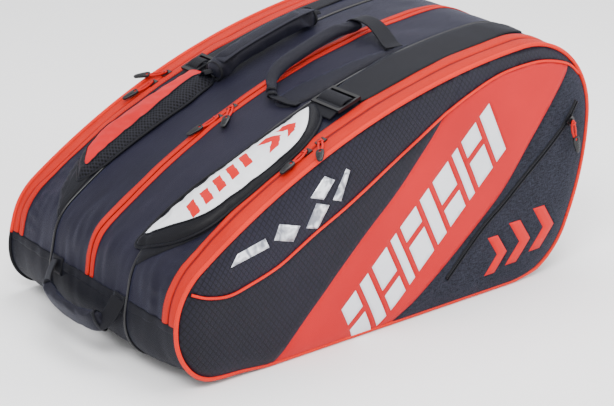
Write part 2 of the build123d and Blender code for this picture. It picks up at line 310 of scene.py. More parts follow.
def ribbon(name, pts, across, width, t, edge=0.0):
    """flat webbing along pts; across is the width direction at each point"""
    p = np.asarray(pts, float)
    n = len(p)
    a = np.broadcast_to(np.asarray(across, float), p.shape)
    w = np.broadcast_to(np.asarray(width, float), (n,))
    _, tg, _ = frames(p, False, (0, 0, 1))
    prof_k = [(-1, -.35), (-.97, .35), (-.9, .5), (-.45, .5), (0, .5), (.45, .5), (.9, .5), (.97, .35), (1, -.35),
              (.9, -.5), (.45, -.5), (0, -.5), (-.45, -.5), (-.9, -.5)]
    L = np.r_[0, np.cumsum(np.linalg.norm(np.diff(p, axis=0), axis=1))]
    verts, fab = [], []
    for i in range(n):
        aw = a[i] - tg[i] * (a[i] @ tg[i]); aw /= np.linalg.norm(aw)
        nn = np.cross(tg[i], aw)
        if nn[2] < 0 and abs(nn[2]) > 0.2:
            nn = -nn
        elif i and nn @ last < 0:
            nn = -nn
        last = nn
        for (k, q) in prof_k:
            verts.append(p[i] + aw * w[i] / 2 * k + nn * t * q)
            fab.append((L[i], w[i] / 2 * k))
    m = len(prof_k)
    f = [(i * m + k, (i + 1) * m + k, (i + 1) * m + (k + 1) % m, i * m + (k + 1) % m)
         for i in range(n - 1) for k in range(m)]
    f.append(tuple(range(m)))
    f.append(tuple((n - 1) * m + k for k in range(m))[::-1])
    ob = new_mesh(name, verts, f, fab)
    bm = bmesh.new(); bm.from_mesh(ob.data); bmesh.ops.recalc_face_normals(bm, faces=bm.faces)
    bm.to_mesh(ob.data); bm.free()
    return ob


def catmull(pts, per=8, closed=False):
    p = np.asarray(pts, float)
    n = len(p)
    out = []
    rng = range(n if closed else n - 1)
    for i in rng:
        if closed:
            a, b, c, d = p[(i - 1) % n], p[i], p[(i + 1) % n], p[(i + 2) % n]
        else:
            a, b, c, d = p[max(i - 1, 0)], p[i], p[i + 1], p[min(i + 2, n - 1)]
        for k in range(per):
            t = k / per
            out.append(0.5 * ((2 * b) + (-a + c) * t + (2 * a - 5 * b + 4 * c - d) * t * t +
                              (-a + 3 * b - 3 * c + d) * t ** 3))
    if not closed:
        out.append(p[-1])
    return np.array(out)


def in_poly(px, py, poly):
    poly = np.asarray(poly, float)
    inside = np.zeros(len(px), bool)
    n = len(poly)
    for i in range(n):
        x0, y0 = poly[i]
        x1, y1 = poly[(i + 1) % n]
        c = ((y0 > py) != (y1 > py)) & (px < (x1 - x0) * (py - y0) / (y1 - y0 + 1e-12) + x0)
        inside ^= c
    return inside


def resample(poly, step, closed=True):
    p = np.asarray(poly, float)
    out = []
    n = len(p)
    for i in range(n if closed else n - 1):
        a, b = p[i], p[(i + 1) % n]
        k = max(1, int(math.ceil(np.linalg.norm(b - a) / step)))
        out += [a + (b - a) * j / k for j in range(k)]
    if not closed:
        out.append(p[-1])
    return np.array(out)


def cdt(outline, lines, loops, spacing, seed=1):
    """triangulate the region inside outline, with open lines and closed loops kept as edges"""
    V, E = [], []

    def add(pts, closed):
        i0 = len(V)
        V.extend([tuple(q) for q in pts])
        m = len(pts)
        for k in range(m if closed else m - 1):
            E.append((i0 + k, i0 + (k + 1) % m))

    add(outline, True)
    for l in lines:
        add(l, False)
    for l in loops:
        add(l, True)
    fixed = np.array(V)
    lo, hi = outline.min(0), outline.max(0)
    gx = np.arange(lo[0] + spacing / 2, hi[0], spacing)
    gy = np.arange(lo[1] + spacing / 2, hi[1], spacing * 0.87)
    pts = []
    for j, b in enumerate(gy):
        for a in gx:
            pts.append((a + (spacing / 2 if j % 2 else 0), b))
    pts = np.array(pts)
    pts = pts[in_poly(pts[:, 0], pts[:, 1], outline)]
    keep = np.ones(len(pts), bool)
    for i in range(0, len(pts), 1500):
        d = ((pts[i:i + 1500, None, :] - fixed[None]) ** 2).sum(2).min(1)
        keep[i:i + 1500] = d > (0.5 * spacing) ** 2
    V += [tuple(q) for q in pts[keep]]
    r = delaunay_2d_cdt([Vector(v) for v in V], E, [], 0, 1e-4)
    v2 = np.array([tuple(q) for q in r[0]])
    tri = np.array([tuple(q) for q in r[2] if len(q) == 3])
    c = v2[tri].mean(1)
    tri = tri[in_poly(c[:, 0], c[:, 1], outline)]
    return v2, tri


def subset(v3, fab, tri, name):
    used, inv = np.unique(tri.ravel(), return_inverse=True)
    return new_mesh(name, v3[used], inv.reshape(-1, 3), fab[used])


def join(name, obs):
    """join meshes into one object"""
    for o in bpy.context.selected_objects:
        o.select_set(False)
    for o in obs:
        o.select_set(True)
    bpy.context.view_layer.objects.active = obs[0]
    bpy.ops.object.join()
    ob = obs[0]
    ob.name = name
    ob.data.name = name
    ob.select_set(False)
    return ob


# ------------------------------------------------------------------ materials
def mat_base(name, color, rough, spec=0.5, sheen=0.0, sheen_tint=None, coat=0.0, metallic=0.0):
    m = bpy.data.materials.new(name)
    m.use_nodes = True
    nt = m.node_tree
    b = nt.nodes["Principled BSDF"]
    b.inputs["Base Color"].default_value = (*color, 1)
    b.inputs["Roughness"].default_value = rough
    b.inputs["Specular IOR Level"].default_value = spec
    b.inputs["Sheen Weight"].default_value = sheen
    b.inputs["Sheen Roughness"].default_value = 0.45
    if sheen_tint:
        b.inputs["Sheen Tint"].default_value = (*sheen_tint, 1)
    b.inputs["Coat Weight"].default_value = coat
    b.inputs["Coat Roughness"].default_value = 0.3
    b.inputs["Metallic"].default_value = metallic
    return m, nt, b


def N(nt, kind, **k):
    n = nt.nodes.new(kind)
    for a, v in k.items():
        if a.startswith("i_"):
            n.inputs[a[2:].replace("_", " ")].default_value = v
        else:
            setattr(n, a, v)
    return n


def math_node(nt, op, a, b=None, c=None, clamp=False):
    n = nt.nodes.new("ShaderNodeMath")
    n.operation = op
    n.use_clamp = clamp
    for i, q in enumerate((a, b, c)):
        if q is None:
            continue
        if isinstance(q, (int, float)):
            n.inputs[i].default_value = q
        else:
            nt.links.new(q, n.inputs[i])
    return n.outputs[0]


def coords(nt, scale, rot=0.0):
    a = N(nt, "ShaderNodeAttribute", attribute_name="fab")
    mp = N(nt, "ShaderNodeMapping")
    mp.inputs["Scale"].default_value = (scale[0], scale[1], 1)
    mp.inputs["Rotation"].default_value = (0, 0, rot)
    nt.links.new(a.outputs["Vector"], mp.inputs["Vector"])
    return mp.outputs["Vector"]


def obj_coords(nt):
    return N(nt, "ShaderNodeTexCoord").outputs["Object"]


def noise_tex(nt, vec, scale, detail=3, rough=0.55, dist=0.0):
    n = N(nt, "ShaderNodeTexNoise")
    n.inputs["Scale"].default_value = scale
    n.inputs["Detail"].default_value = detail
    n.inputs["Roughness"].default_value = rough
    n.inputs["Distortion"].default_value = dist
    nt.links.new(vec, n.inputs["Vector"])
    return n.outputs["Fac"]


def weave(nt, pitch, rot=0.0):
    """plain weave height from the cloth's own coordinates: 0..1"""
    v = coords(nt, (1 / (pitch * MM), 1 / (pitch * MM)), rot)
    sp = N(nt, "ShaderNodeSeparateXYZ")
    nt.links.new(v, sp.inputs[0])
    a = math_node(nt, "ABSOLUTE", math_node(nt, "SINE", math_node(nt, "MULTIPLY", sp.outputs["X"], math.pi)))
    b = math_node(nt, "ABSOLUTE", math_node(nt, "SINE", math_node(nt, "MULTIPLY", sp.outputs["Y"], math.pi)))
    fx = math_node(nt, "FLOOR", sp.outputs["X"])
    fy = math_node(nt, "FLOOR", sp.outputs["Y"])
    par = math_node(nt, "MODULO", math_node(nt, "ADD", fx, fy), 2.0)
    par = math_node(nt, "ABSOLUTE", par)
    ia = math_node(nt, "MULTIPLY", a, par)
    ib = math_node(nt, "MULTIPLY", b, math_node(nt, "SUBTRACT", 1.0, par))
    return math_node(nt, "ADD", ia, ib)


def lines(nt, pitch, width, rot=0.0, axis="X"):
    """thin lines every pitch mm, 1 on the line"""
    v = coords(nt, (1 / (pitch * MM), 1 / (pitch * MM)), rot)
    sp = N(nt, "ShaderNodeSeparateXYZ")
    nt.links.new(v, sp.inputs[0])
    f = math_node(nt, "FRACT", sp.outputs[axis])
    f = math_node(nt, "ABSOLUTE", math_node(nt, "SUBTRACT", f, 0.5))
    return math_node(nt, "LESS_THAN", f, width / 2)


def bump(nt, b, height, strength, dist):
    bp = N(nt, "ShaderNodeBump")
    bp.inputs["Strength"].default_value = strength
    bp.inputs["Distance"].default_value = dist
    nt.links.new(height, bp.inputs["Height"])
    nt.links.new(bp.outputs["Normal"], b.inputs["Normal"])


def ramp_color(nt, b, fac, c0, c1, p0=0.0, p1=1.0):
    r = N(nt, "ShaderNodeValToRGB")
    r.color_ramp.elements[0].position = p0
    r.color_ramp.elements[1].position = p1
    r.color_ramp.elements[0].color = (*c0, 1)
    r.color_ramp.elements[1].color = (*c1, 1)
    nt.links.new(fac, r.inputs["Fac"])
    nt.links.new(r.outputs["Color"], b.inputs["Base Color"])
    return r


def rough_map(nt, b, fac, lo, hi):
    m = N(nt, "ShaderNodeMapRange")
    m.inputs["To Min"].default_value = lo
    m.inputs["To Max"].default_value = hi
    nt.links.new(fac, m.inputs["Value"])
    nt.links.new(m.outputs["Result"], b.inputs["Roughness"])


def fabric(name, c0, c1, rough=0.72, pitch=0.9, sheen=0.25, var=9.0, bump_d=0.00025, tint=(0.45, 0.5, 0.9), spec=0.12):
    sheen *= 0.22
    m, nt, b = mat_base(name, c0, rough, spec, sheen, tint)
    o = obj_coords(nt)
    n = noise_tex(nt, o, var, 4)
    fine = noise_tex(nt, o, 420, 2)
    w = weave(nt, pitch)
    mix = math_node(nt, "ADD", math_node(nt, "MULTIPLY", n, 0.55), math_node(nt, "MULTIPLY", w, 0.30))
    mix = math_node(nt, "ADD", mix, math_node(nt, "MULTIPLY", fine, 0.25))
    ramp_color(nt, b, mix, c0, c1, 0.25, 0.85)
    rough_map(nt, b, n, rough - 0.08, rough + 0.08)
    bump(nt, b, w, 0.55, bump_d)
    return m


M = {}
M['body'] = fabric("body_cloth", (0.0034, 0.0031, 0.0072), (0.0118, 0.0108, 0.0222), 0.46, 0.9, 0.30)
M['base'] = fabric("base_cloth", (0.0021, 0.0021, 0.0034), (0.0066, 0.0066, 0.0098), 0.60, 1.3, 0.15, 14, 0.0004)
M['lining'] = fabric("lining_cloth", (0.06, 0.06, 0.065), (0.11, 0.11, 0.12), 0.8, 1.2, 0.2)


def ripstop(name="panel_ripstop", k=1.0, pitch=6.4):
    m, nt, b = mat_base(name, (0.01, 0.01, 0.016), 0.50, 0.16, 0.05, (0.45, 0.5, 0.9))
    o = obj_coords(nt)
    n = noise_tex(nt, o, 8, 4)
    l1 = lines(nt, pitch, 0.26, math.radians(38))
    l2 = lines(nt, pitch, 0.26, math.radians(-38))
    g = math_node(nt, "MAXIMUM", l1, l2)
    w = weave(nt, 0.9)
    mix = math_node(nt, "ADD", math_node(nt, "MULTIPLY", n, 0.55), math_node(nt, "MULTIPLY", g, -0.30))
    mix = math_node(nt, "ADD", mix, math_node(nt, "MULTIPLY", w, 0.25))
    ramp_color(nt, b, mix, (0.0014 * k, 0.0013 * k, 0.0032 * k), (0.0130 * k, 0.0120 * k, 0.0235 * k), 0.0, 0.62)
    h = math_node(nt, "SUBTRACT", math_node(nt, "MULTIPLY", w, 0.3), g)
    bump(nt, b, h, 0.6, 0.0004)
    rough_map(nt, b, n, 0.44, 0.58)
    return m


def heather():
    m, nt, b = mat_base("pocket_heather", (0.01, 0.012, 0.018), 0.72, 0.12, 0.06, (0.45, 0.55, 0.9))
    v = coords(nt, (110, 420), math.radians(-52))
    n1 = noise_tex(nt, v, 1.0, 3, 0.7)
    v2 = coords(nt, (460, 150), math.radians(-52))
    n2 = noise_tex(nt, v2, 1.0, 3, 0.7)
    o = obj_coords(nt)
    n3 = noise_tex(nt, o, 9, 3)
    w = weave(nt, 1.1)
    mix = math_node(nt, "ADD", math_node(nt, "MULTIPLY", n1, 0.55), math_node(nt, "MULTIPLY", n2, 0.45))
    mix = math_node(nt, "ADD", math_node(nt, "MULTIPLY", mix, 0.85), math_node(nt, "MULTIPLY", n3, 0.15))
    ramp_color(nt, b, mix, (0.0010, 0.0011, 0.0026), (0.0300, 0.0315, 0.0480), 0.40, 0.68)
    bump(nt, b, math_node(nt, "ADD", w, mix), 0.5, 0.0004)
    return m


def coated(name, c0, c1, rough, pitch=2.4, grain=True, coat=0.15):
    m, nt, b = mat_base(name, c0, rough, 0.15, 0.0, None, coat)
    o = obj_coords(nt)
    n = noise_tex(nt, o, 7, 4)
    f = noise_tex(nt, o, 260, 3)
    l1 = lines(nt, pitch, 0.2, math.radians(38))
    l2 = lines(nt, pitch, 0.2, math.radians(-38))
    g = math_node(nt, "MAXIMUM", l1, l2)
    mix = math_node(nt, "ADD", math_node(nt, "MULTIPLY", n, 0.7), math_node(nt, "MULTIPLY", f, 0.2))
    if grain:
        mix = math_node(nt, "SUBTRACT", mix, math_node(nt, "MULTIPLY", g, 0.22))
    ramp_color(nt, b, mix, c0, c1, 0.2, 0.8)
    rough_map(nt, b, n, rough - 0.07, rough + 0.08)
    bump(nt, b, math_node(nt, "SUBTRACT", math_node(nt, "MULTIPLY", f, 0.5), g) if grain else f, 0.35, 0.00025)
    return m


M['ripstop'] = ripstop()
M['ripdark'] = ripstop("panel_ripstop_dark", 0.72, 7.2)
M['heather'] = heather()
M['coral'] = coated("stripe_coral", (0.40, 0.0030, 0.0065), (0.56, 0.0075, 0.0125), 0.50, coat=0.0)
M['white'] = coated("print_white", (0.62, 0.64, 0.68), (0.76, 0.78, 0.82), 0.38, grain=False)
M['padred'] = coated("pad_red", (0.40, 0.0036, 0.0072), (0.56, 0.0080, 0.0130), 0.48, grain=False, coat=0.0)
M['padsilver'] = coated("pad_silver", (0.66, 0.67, 0.71), (0.82, 0.83, 0.87), 0.34, 1.6, True, 0.3)
M['printred'] = coated("print_red", (0.44, 0.0030, 0.0040), (0.58, 0.0070, 0.0080), 0.45, grain=False, coat=0.0)


def silver_print():
    m, nt, b = mat_base("print_silver", (0.5, 0.52, 0.56), 0.35, 0.5, 0, None, 0.2, 0.35)
    v = coords(nt, (60, 60), math.radians(25))
    n = noise_tex(nt, v, 0.9, 1, 0.3, 1.5)
    o = obj_coords(nt)
    g = noise_tex(nt, o, 180, 2)
    mix = math_node(nt, "ADD", math_node(nt, "MULTIPLY", n, 0.85), math_node(nt, "MULTIPLY", g, 0.15))
    ramp_color(nt, b, mix, (0.22, 0.23, 0.27), (0.78, 0.80, 0.85), 0.38, 0.60)
    bump(nt, b, g, 0.2, 0.0001)
    return m


M['silver'] = silver_print()


def tape(name, c0, c1):
    """zip tape: fine ribs along its length"""
    m, nt, b = mat_base(name, c0, 0.5, 0.14, 0.0, (1.0, 0.6, 0.5))
    r = lines(nt, 1.5, 0.4, 0, "Y")
    w = weave(nt, 0.7)
    o = obj_coords(nt)
    n = noise_tex(nt, o, 16, 3)
    mix = math_node(nt, "ADD", math_node(nt, "MULTIPLY", n, 0.6), math_node(nt, "MULTIPLY", w, 0.3))
    mix = math_node(nt, "SUBTRACT", mix, math_node(nt, "MULTIPLY", r, 0.12))
    ramp_color(nt, b, mix, c0, c1, 0.1, 0.8)
    bump(nt, b, math_node(nt, "ADD", w, math_node(nt, "MULTIPLY", r, -0.8)), 0.5, 0.0003)
    rough_map(nt, b, n, 0.42, 0.58)
    return m


M['tape'] = tape("zip_tape_red", (0.34, 0.0050, 0.0012), (0.54, 0.0130, 0.0034))
M['piping'] = tape("piping_red", (0.50, 0.0080, 0.0024), (0.74, 0.0220, 0.0080))
M['chain'] = fabric("zip_coil", (0.10, 0.003, 0.002), (0.22, 0.008, 0.004), 0.45, 0.8)


def webbing(name, c0, c1, rough=0.6):
    m, nt, b = mat_base(name, c0, rough, 0.14, 0.04, (0.5, 0.55, 0.9))
    r = lines(nt, 1.9, 0.45, 0, "X")
    e = lines(nt, 2.4, 0.3, 0, "Y")
    o = obj_coords(nt)
    n = noise_tex(nt, o, 12, 4)
    f = noise_tex(nt, o, 500, 2)
    mix = math_node(nt, "ADD", math_node(nt, "MULTIPLY", n, 0.5), math_node(nt, "MULTIPLY", f, 0.35))
    mix = math_node(nt, "SUBTRACT", mix, math_node(nt, "MULTIPLY", r, 0.15))
    ramp_color(nt, b, mix, c0, c1, 0.15, 0.8)
    bump(nt, b, math_node(nt, "ADD", math_node(nt, "MULTIPLY", r, -1.0), math_node(nt, "MULTIPLY", e, -0.5)), 0.6, 0.0005)
    rough_map(nt, b, n, rough - 0.07, rough + 0.08)
    return m


M['web'] = webbing("webbing_black", (0.0028, 0.0028, 0.0040), (0.0088, 0.0088, 0.0118))
M['bind'] = webbing("binding_black", (0.0022, 0.0022, 0.0032), (0.0070, 0.0070, 0.0096), 0.5)


def mesh_cloth():
    m, nt, b = mat_base("air_mesh", (0.006, 0.006, 0.008), 0.7, 0.12, 0.04, (0.5, 0.55, 0.85))
    v = coords(nt, (1 / 0.0042, 1 / 0.0042), math.radians(45))
    vo = N(nt, "ShaderNodeTexVoronoi")
    vo.voronoi_dimensions = "2D"
    vo.inputs["Scale"].default_value = 1.0
    vo.inputs["Randomness"].default_value = 0.08
    nt.links.new(v, vo.inputs["Vector"])
    ramp_color(nt, b, vo.outputs["Distance"], (0.0006, 0.0006, 0.0008), (0.0125, 0.0125, 0.0175), 0.20, 0.48)
    bump(nt, b, vo.outputs["Distance"], 0.9, 0.0012)
    return m


M['mesh'] = mesh_cloth()


def plastic(name, c, rough, coat=0.0, scale=300):
    m, nt, b = mat_base(name, c, rough, 0.32, 0, None, coat)
    o = obj_coords(nt)
    n = noise_tex(nt, o, scale, 3)
    n2 = noise_tex(nt, o, 30, 3)
    ramp_color(nt, b, n2, tuple(q * 0.75 for q in c), tuple(q * 1.35 for q in c), 0.3, 0.7)
    rough_map(nt, b, n2, rough - 0.06, rough + 0.10)
    bump(nt, b, n, 0.15, 0.0002)
    return m


M['plastic'] = plastic("moulded_black", (0.0050, 0.0050, 0.0066), 0.34)
M['slider'] = plastic("slider_black_metal", (0.0045, 0.0045, 0.0052), 0.24, 0.4)
M['cord'] = webbing("pull_cord_red", (0.42, 0.0060, 0.0034), (0.64, 0.0180, 0.0090), 0.5)
M['board'] = plastic("board", (0.04, 0.04, 0.042), 0.7)
M['pipeblack'] = plastic("piping_black", (0.0030, 0.0030, 0.0045), 0.34, 0.2, 500)
M['handle'] = fabric("handle_cloth", (0.0032, 0.0031, 0.0056), (0.0092, 0.0089, 0.0142), 0.52, 1.1, 0.3)
M['thread'] = plastic("thread_dark", (0.010, 0.010, 0.013), 0.6)


def setmat(ob, m):
    ob.data.materials.clear()
    ob.data.materials.append(m)
    return ob




def done(ob, m, body, slot, *rep):
    setmat(ob, M[m])
    if body:
        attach(ob, body)
    if rep:
        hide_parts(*rep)
    return ob


# ------------------------------------------------------------------ skins over the gussets
def flap_weight(s, y):
    """how much of the middle flap's motion a point takes: a lens that is widest mid-way"""
    x, z, _, _ = prof(s)
    top = (s > S_RT - 60) & (s < S_LT + 5)
    return np.where(top, smooth((x + 96) / 95.0) * smooth((226 - x) / 95.0) *
                    smooth((FLAP_Y + 4 - np.abs(y)) / 22.0), 0.0)


FLAP_Y = 50.0
S_TOP = np.linspace(S_R, S_L, 240)


def ylist(a, b, step):
    n = max(2, int(round(abs(b - a) / step)) + 1)
    return np.linspace(a, b, n)


for side, sg, flap in (("near", -1, "near_flap"), ("far", 1, "far_flap")):
    # half of the middle compartment's top
    ob = grid(f"mid_skin_{side}", S_TOP, sg * ylist(98.6, 1.6, 3.2), 0.0)
    solid(ob, 2.6)
    setmat(ob, M['body'])
    fab = np.zeros(len(ob.data.vertices) * 3, np.float32)
    ob.data.attributes["fab"].data.foreach_get("vector", fab)
    fab = fab.reshape(-1, 3) / MM
    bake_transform(ob)
    flap_weight(fab[:, 0], fab[:, 1])
    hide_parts(f"mid_flap_{side}", *(["mid_gusset_upper"] if side == "near" else []))
    # half of the middle zip's tape
    yo = lambda s: 11.2 - 1.6 * smooth((s - S_LT + 60) / 260.0)
    ys = np.linspace(0, 1, 9)
    ss, tt = np.meshgrid(np.linspace(S_R + 2, S_L - 2, 300), ys, indexing='ij')
    s, t = ss.ravel(), tt.ravel()
    y = sg * (1.1 + (yo(s) - 1.1) * t)
    h = 1.0 + 0.9 * np.sin(np.pi * np.clip(t * 1.05, 0, 1)) ** 0.6 - 1.3 * (t < 0.01)
    v = place(s, y, h + folds(s, y))
    n, m = ss.shape
    f = [(i * m + j, i * m + j + 1, (i + 1) * m + j + 1, (i + 1) * m + j) for i in range(n - 1) for j in range(m - 1)]
    ob = outward(new_mesh(f"mid_zip_half_{side}", v, f, np.c_[s, y]))
    solid(ob, 1.2)
    setmat(ob, M['tape'])
    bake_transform(ob)
    flap_weight(s, y)
    if side == "near":
        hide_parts("mid_zip_tape")


def band_y(s):
    """inner edge of an outer compartment's zip tape: the band narrows to the low end"""
    x, z, _, _ = prof(s)
    t = smooth((S_L - s) / 520.0)
    return 183.5 - 15.5 * t


def slit_y(s):
    """where the two halves of an outer zip meet: it leans out at the low left end"""
    return 190.0 + 8.0 * smooth((s - CUM[5] + 60) / 130.0)


for side, sg in (("near", -1), ("far", 1)):
    Y = sg * ylist(101.4, 189.0, 3.4)
    ob = grid(f"{side}_top_skin", S_TOP, Y, 0.0)
    solid(ob, 2.6)
    done(ob, 'body', "bag", "body_fabric", f"{side}_gusset_upper")
    # zip tape on the bag's side
    ys = np.linspace(0, 1, 10)
    S = np.linspace(S_R + 1, S_L - 1, 330)
    ss, tt = np.meshgrid(S, ys, indexing='ij')
    s, t = ss.ravel(), tt.ravel()
    y0 = slit_y(s) - 1.0
    y = sg * (y0 + (band_y(s) - y0) * t)
    h = 0.9 + 1.3 * np.sin(np.pi * np.clip(t * 1.04, 0, 1)) ** 0.55 - 1.4 * (t < 0.01)
    v = place(s, y, h + folds(s, y))
    n, m = ss.shape
    f = [(i * m + j, i * m + j + 1, (i + 1) * m + j + 1, (i + 1) * m + j) for i in range(n - 1) for j in range(m - 1)]
    ob = outward(new_mesh(f"{side}_zip_tape_inner", v, f, np.c_[s, y]))
    solid(ob, 1.2)
    done(ob, 'tape', "bag", "red_tape", f"{side}_zip_tape_body")
    # the panel's rim and its tape
    ob = grid(f"{side}_rim_skin", np.linspace(S_R + 2, S_L - 2, 200), sg * ylist(191.0, 214.5, 4.0), -0.4, 0.6)
    solid(ob, 2.6)
    done(ob, 'body', f"{side}_panel", "body_fabric", f"{side}_panel_rim")
    y0, y1 = slit_y(s) + 1.0, 213.6
    y = sg * (y0 + (y1 - y0) * t)
    h = 0.9 + 1.4 * np.sin(np.pi * np.clip(t * 1.04, 0, 1)) ** 0.5 - 1.4 * (t < 0.01)
    v = place(s, y, h + 0.6 * folds(s, y))
    ob = outward(new_mesh(f"{side}_zip_tape_outer", v, f, np.c_[s, y]))
    solid(ob, 1.2)
    done(ob, 'tape', f"{side}_panel", "red_tape", f"{side}_zip_tape_panel")
    # coil seen in the slit
    for body, da, db, nm in (("bag", -0.15, -3.2, "inner"), (f"{side}_panel", 0.15, 3.2, "outer")):
        Sc = np.linspace(S_R + 2, S_L - 2, 200)
        ss, uu = np.meshgrid(Sc, np.linspace(0, 1, 3), indexing='ij')
        s_, u_ = ss.ravel(), uu.ravel()
        y_ = sg * (slit_y(s_) + da + (db - da) * u_)
        f = [(i * 3 + j, i * 3 + j + 1, (i + 1) * 3 + j + 1, (i + 1) * 3 + j) for i in range(len(Sc) - 1) for j in range(2)]
        ob = outward(new_mesh(f"{side}_coil_{nm}", place(s_, y_, 0.1 + 0.8 * folds(s_, y_)), f, np.c_[s_, y_]))
        solid(ob, 1.4)
        done(ob, 'chain', body, "red_tape")
    # lower shell
    S2 = np.linspace(S_L, TOTAL + S_R, 200)
    ob = grid(f"{side}_base_skin", S2, sg * ylist(101.4, 216.4, 5.6), 0.0, 0.5)
    solid(ob, 2.6)
    done(ob, 'base', "bag", "base_fabric", f"{side}_gusset_lower")
ob = grid("mid_base_skin", np.linspace(S_L, TOTAL + S_R, 200), ylist(-98.6, 98.6, 5.6), 0.0, 0.5)
solid(ob, 2.6)
done(ob, 'base', "bag", "base_fabric", "mid_gusset_lower")

# ------------------------------------------------------------------ seam piping of the compartments
for side, sg in (("near", -1), ("far", 1)):
    S = np.linspace(0, TOTAL, 260, endpoint=False)
    pts = place(S, sg * 100.0, 1.2 + 0 * S)
    pts[:, 2] = np.maximum(pts[:, 2], 2.4)
    ob = tube(f"{side}_seam_cord", pts, 2.0, closed=True, seg=12, up=(0, 1, 0))
    done(ob, 'pipeblack', "bag", "black_piping", f"{side}_seam_piping")

# ------------------------------------------------------------------ dividers
for side, sg in (("near", -1), ("far", 1)):
    o = np.c_[prof(np.linspace(0, TOTAL, 220, endpoint=False), -3.4, sg * 100.0)[:2]]
    v2, tri = cdt(o, [], [], 16.0)
    ob = new_mesh(f"{side}_divider_cloth", np.stack([v2[:, 0], sg * (100.0 + 0.5 * np.sin(v2[:, 0] / 40.0)), v2[:, 1]], 1), tri, v2)
    solid(ob, 2.0, 0.0)
    done(ob, 'lining', "bag", "lining", f"{side}_divider")

# ------------------------------------------------------------------ side panels
Y_EDGE, BULGE = 215.5, 12.0
INNER = [(-366, 150), (-352, 145), (-329, 136), (-297, 131), (-265, 137), (-214, 152), (-158, 181), (-96, 211), (-36, 244),
         (18, 273), (73, 303), (128, 327), (185, 344), (244, 349), (285, 345), (327, 331), (352, 311), (372, 290)]
STRIPE_L = [(112, 360), (78, 303), (1, 217), (-70, 154), (-176, 52), (-216, 8), (-240, -16)]
STRIPE_R = [(352, 372), (327, 332), (261, 244), (195, 162), (119, 97), (43, 40), (6, 15), (-24, -8)]
POCKET_ZIP = [(343, 272), (327, 250), (313, 233), (276, 202), (235, 171), (196, 140), (157, 111), (122, 79), (91, 49)]
inner_c = catmull(INNER, 6)
sl_c = catmull(STRIPE_L, 6)
sr_c = catmull(STRIPE_R, 6)


def par(t0, t1, n0, n1, sh):
    """slanted block on the stripe in its own axes"""
    e, nn, o = np.array((.731, .682)), np.array((-.682, .731)), np.array((52.0, 147.0))
    q = [(t0 + sh * n0 / 38, n0), (t1 + sh * n0 / 38, n0), (t1 + sh * n1 / 38, n1), (t0 + sh * n1 / 38, n1)]
    return [tuple(o + e * a + nn * b) for a, b in q]


BARS = []
for k, (t0, wd, cut) in enumerate([(-190, 34, 6), (-146, 20, None), (-116, 36, -8), (-70, 14, None), (-46, 38, 8),
                                   (2, 22, None), (34, 38, -6), (82, 14, None), (106, 36, 7), (152, 24, None)]):
    hh = 41
    if cut is None:
        BARS.append(par(t0, t0 + wd, -hh, hh, 12))
    else:
        BARS.append(par(t0, t0 + wd, -hh, cut - 5, 12))
        BARS.append(par(t0, t0 + wd, cut + 5, hh, 12))
CHEV = []
for x0, z0, sc in ((166, 34, 1.0), (208, 40, 1.12), (256, 50, 1.15)):
    CHEV.append([(x0 + a * sc, z0 + b * sc) for a, b in ((0, 0), (20, 0), (44, 29), (24, 60), (4, 60), (24, 29))])
SHARDS = [[(-292, 170), (-230, 184), (-236, 198), (-280, 186)],
          [(-222, 192), (-190, 182), (-178, 202), (-212, 213)],
          [(-168, 196), (-148, 190), (-128, 220), (-150, 228)],
          [(-160, 238), (-138, 230), (-118, 254), (-134, 263)],
          [(-122, 226), (-108, 221), (-92, 262), (-98, 266)]]


def line_dist(x, z, pts):
    p = np.asarray(pts, float)
    best = np.full(len(x), 1e9)
    for a, b in zip(p[:-1], p[1:]):
        d = b - a
        t = np.clip(((x - a[0]) * d[0] + (z - a[1]) * d[1]) / (d @ d + 1e-9), 0, 1)
        best = np.minimum(best, np.hypot(x - a[0] - t * d[0], z - a[1] - t * d[1]))
    return best


def bulge(x, z):
    """how far the padded side panel stands out at (x, z)"""
    x, z = np.atleast_1d(np.asarray(x, float)), np.atleast_1d(np.asarray(z, float))
    e = edge_dist(x, z)
    ins = in_poly(x, z, np.c_[_PX[::8], _PZ[::8]])
    e = np.where(ins, e, 0)
    b = BULGE * (1 - np.exp(-e / 15.0))
    b = b - 1.5 * np.exp(-(line_dist(x, z, inner_c[::3]) / 4.0) ** 2)
    b = b - 0.9 * np.exp(-(line_dist(x, z, sl_c[::3]) / 3.0) ** 2)
    b = b - 0.9 * np.exp(-(line_dist(x, z, sr_c[::3]) / 3.0) ** 2)
    b = b - 1.6 * np.exp(-(line_dist(x, z, POCKET_ZIP) / 3.4) ** 2)
    n = fbm(np.stack([x, z, 0 * x], 1), 90, 5.3, 2)
    return b + 0.9 * n * smooth(e / 30)


def interp_line(c, v, along):
    c = np.asarray(c)
    o = np.argsort(c[:, along])
    return np.interp(v, c[o, along], c[o, 1 - along])


loops = [resample(b, 7) for b in BARS + CHEV + SHARDS]


def side_sheet(yside):
    outline = np.c_[prof(np.linspace(0, TOTAL, 320, endpoint=False), -0.8, yside)[:2]]
    v2, tri = cdt(outline, [resample(inner_c, 6, False), resample(sl_c, 6, False), resample(sr_c, 6, False),
                            resample(POCKET_ZIP, 6, False)], loops, 7.0)
    yb = bulge(v2[:, 0], v2[:, 1])
    cc = v2[tri].mean(1)
    above = cc[:, 1] > interp_line(inner_c, cc[:, 0], 0)
    left = cc[:, 0] < interp_line(sl_c, cc[:, 1], 1)
    right = cc[:, 0] > interp_line(sr_c, cc[:, 1], 1)
    region = np.where(above, 'upper', np.where(left, 'left', np.where(right, 'pocket', 'stripe'))).astype(object)
    for tag, ls in (('bars', BARS), ('chev', CHEV), ('shard', SHARDS)):
        for q in ls:
            region[in_poly(cc[:, 0], cc[:, 1], q)] = tag
    return outline, v2, tri, yb, region


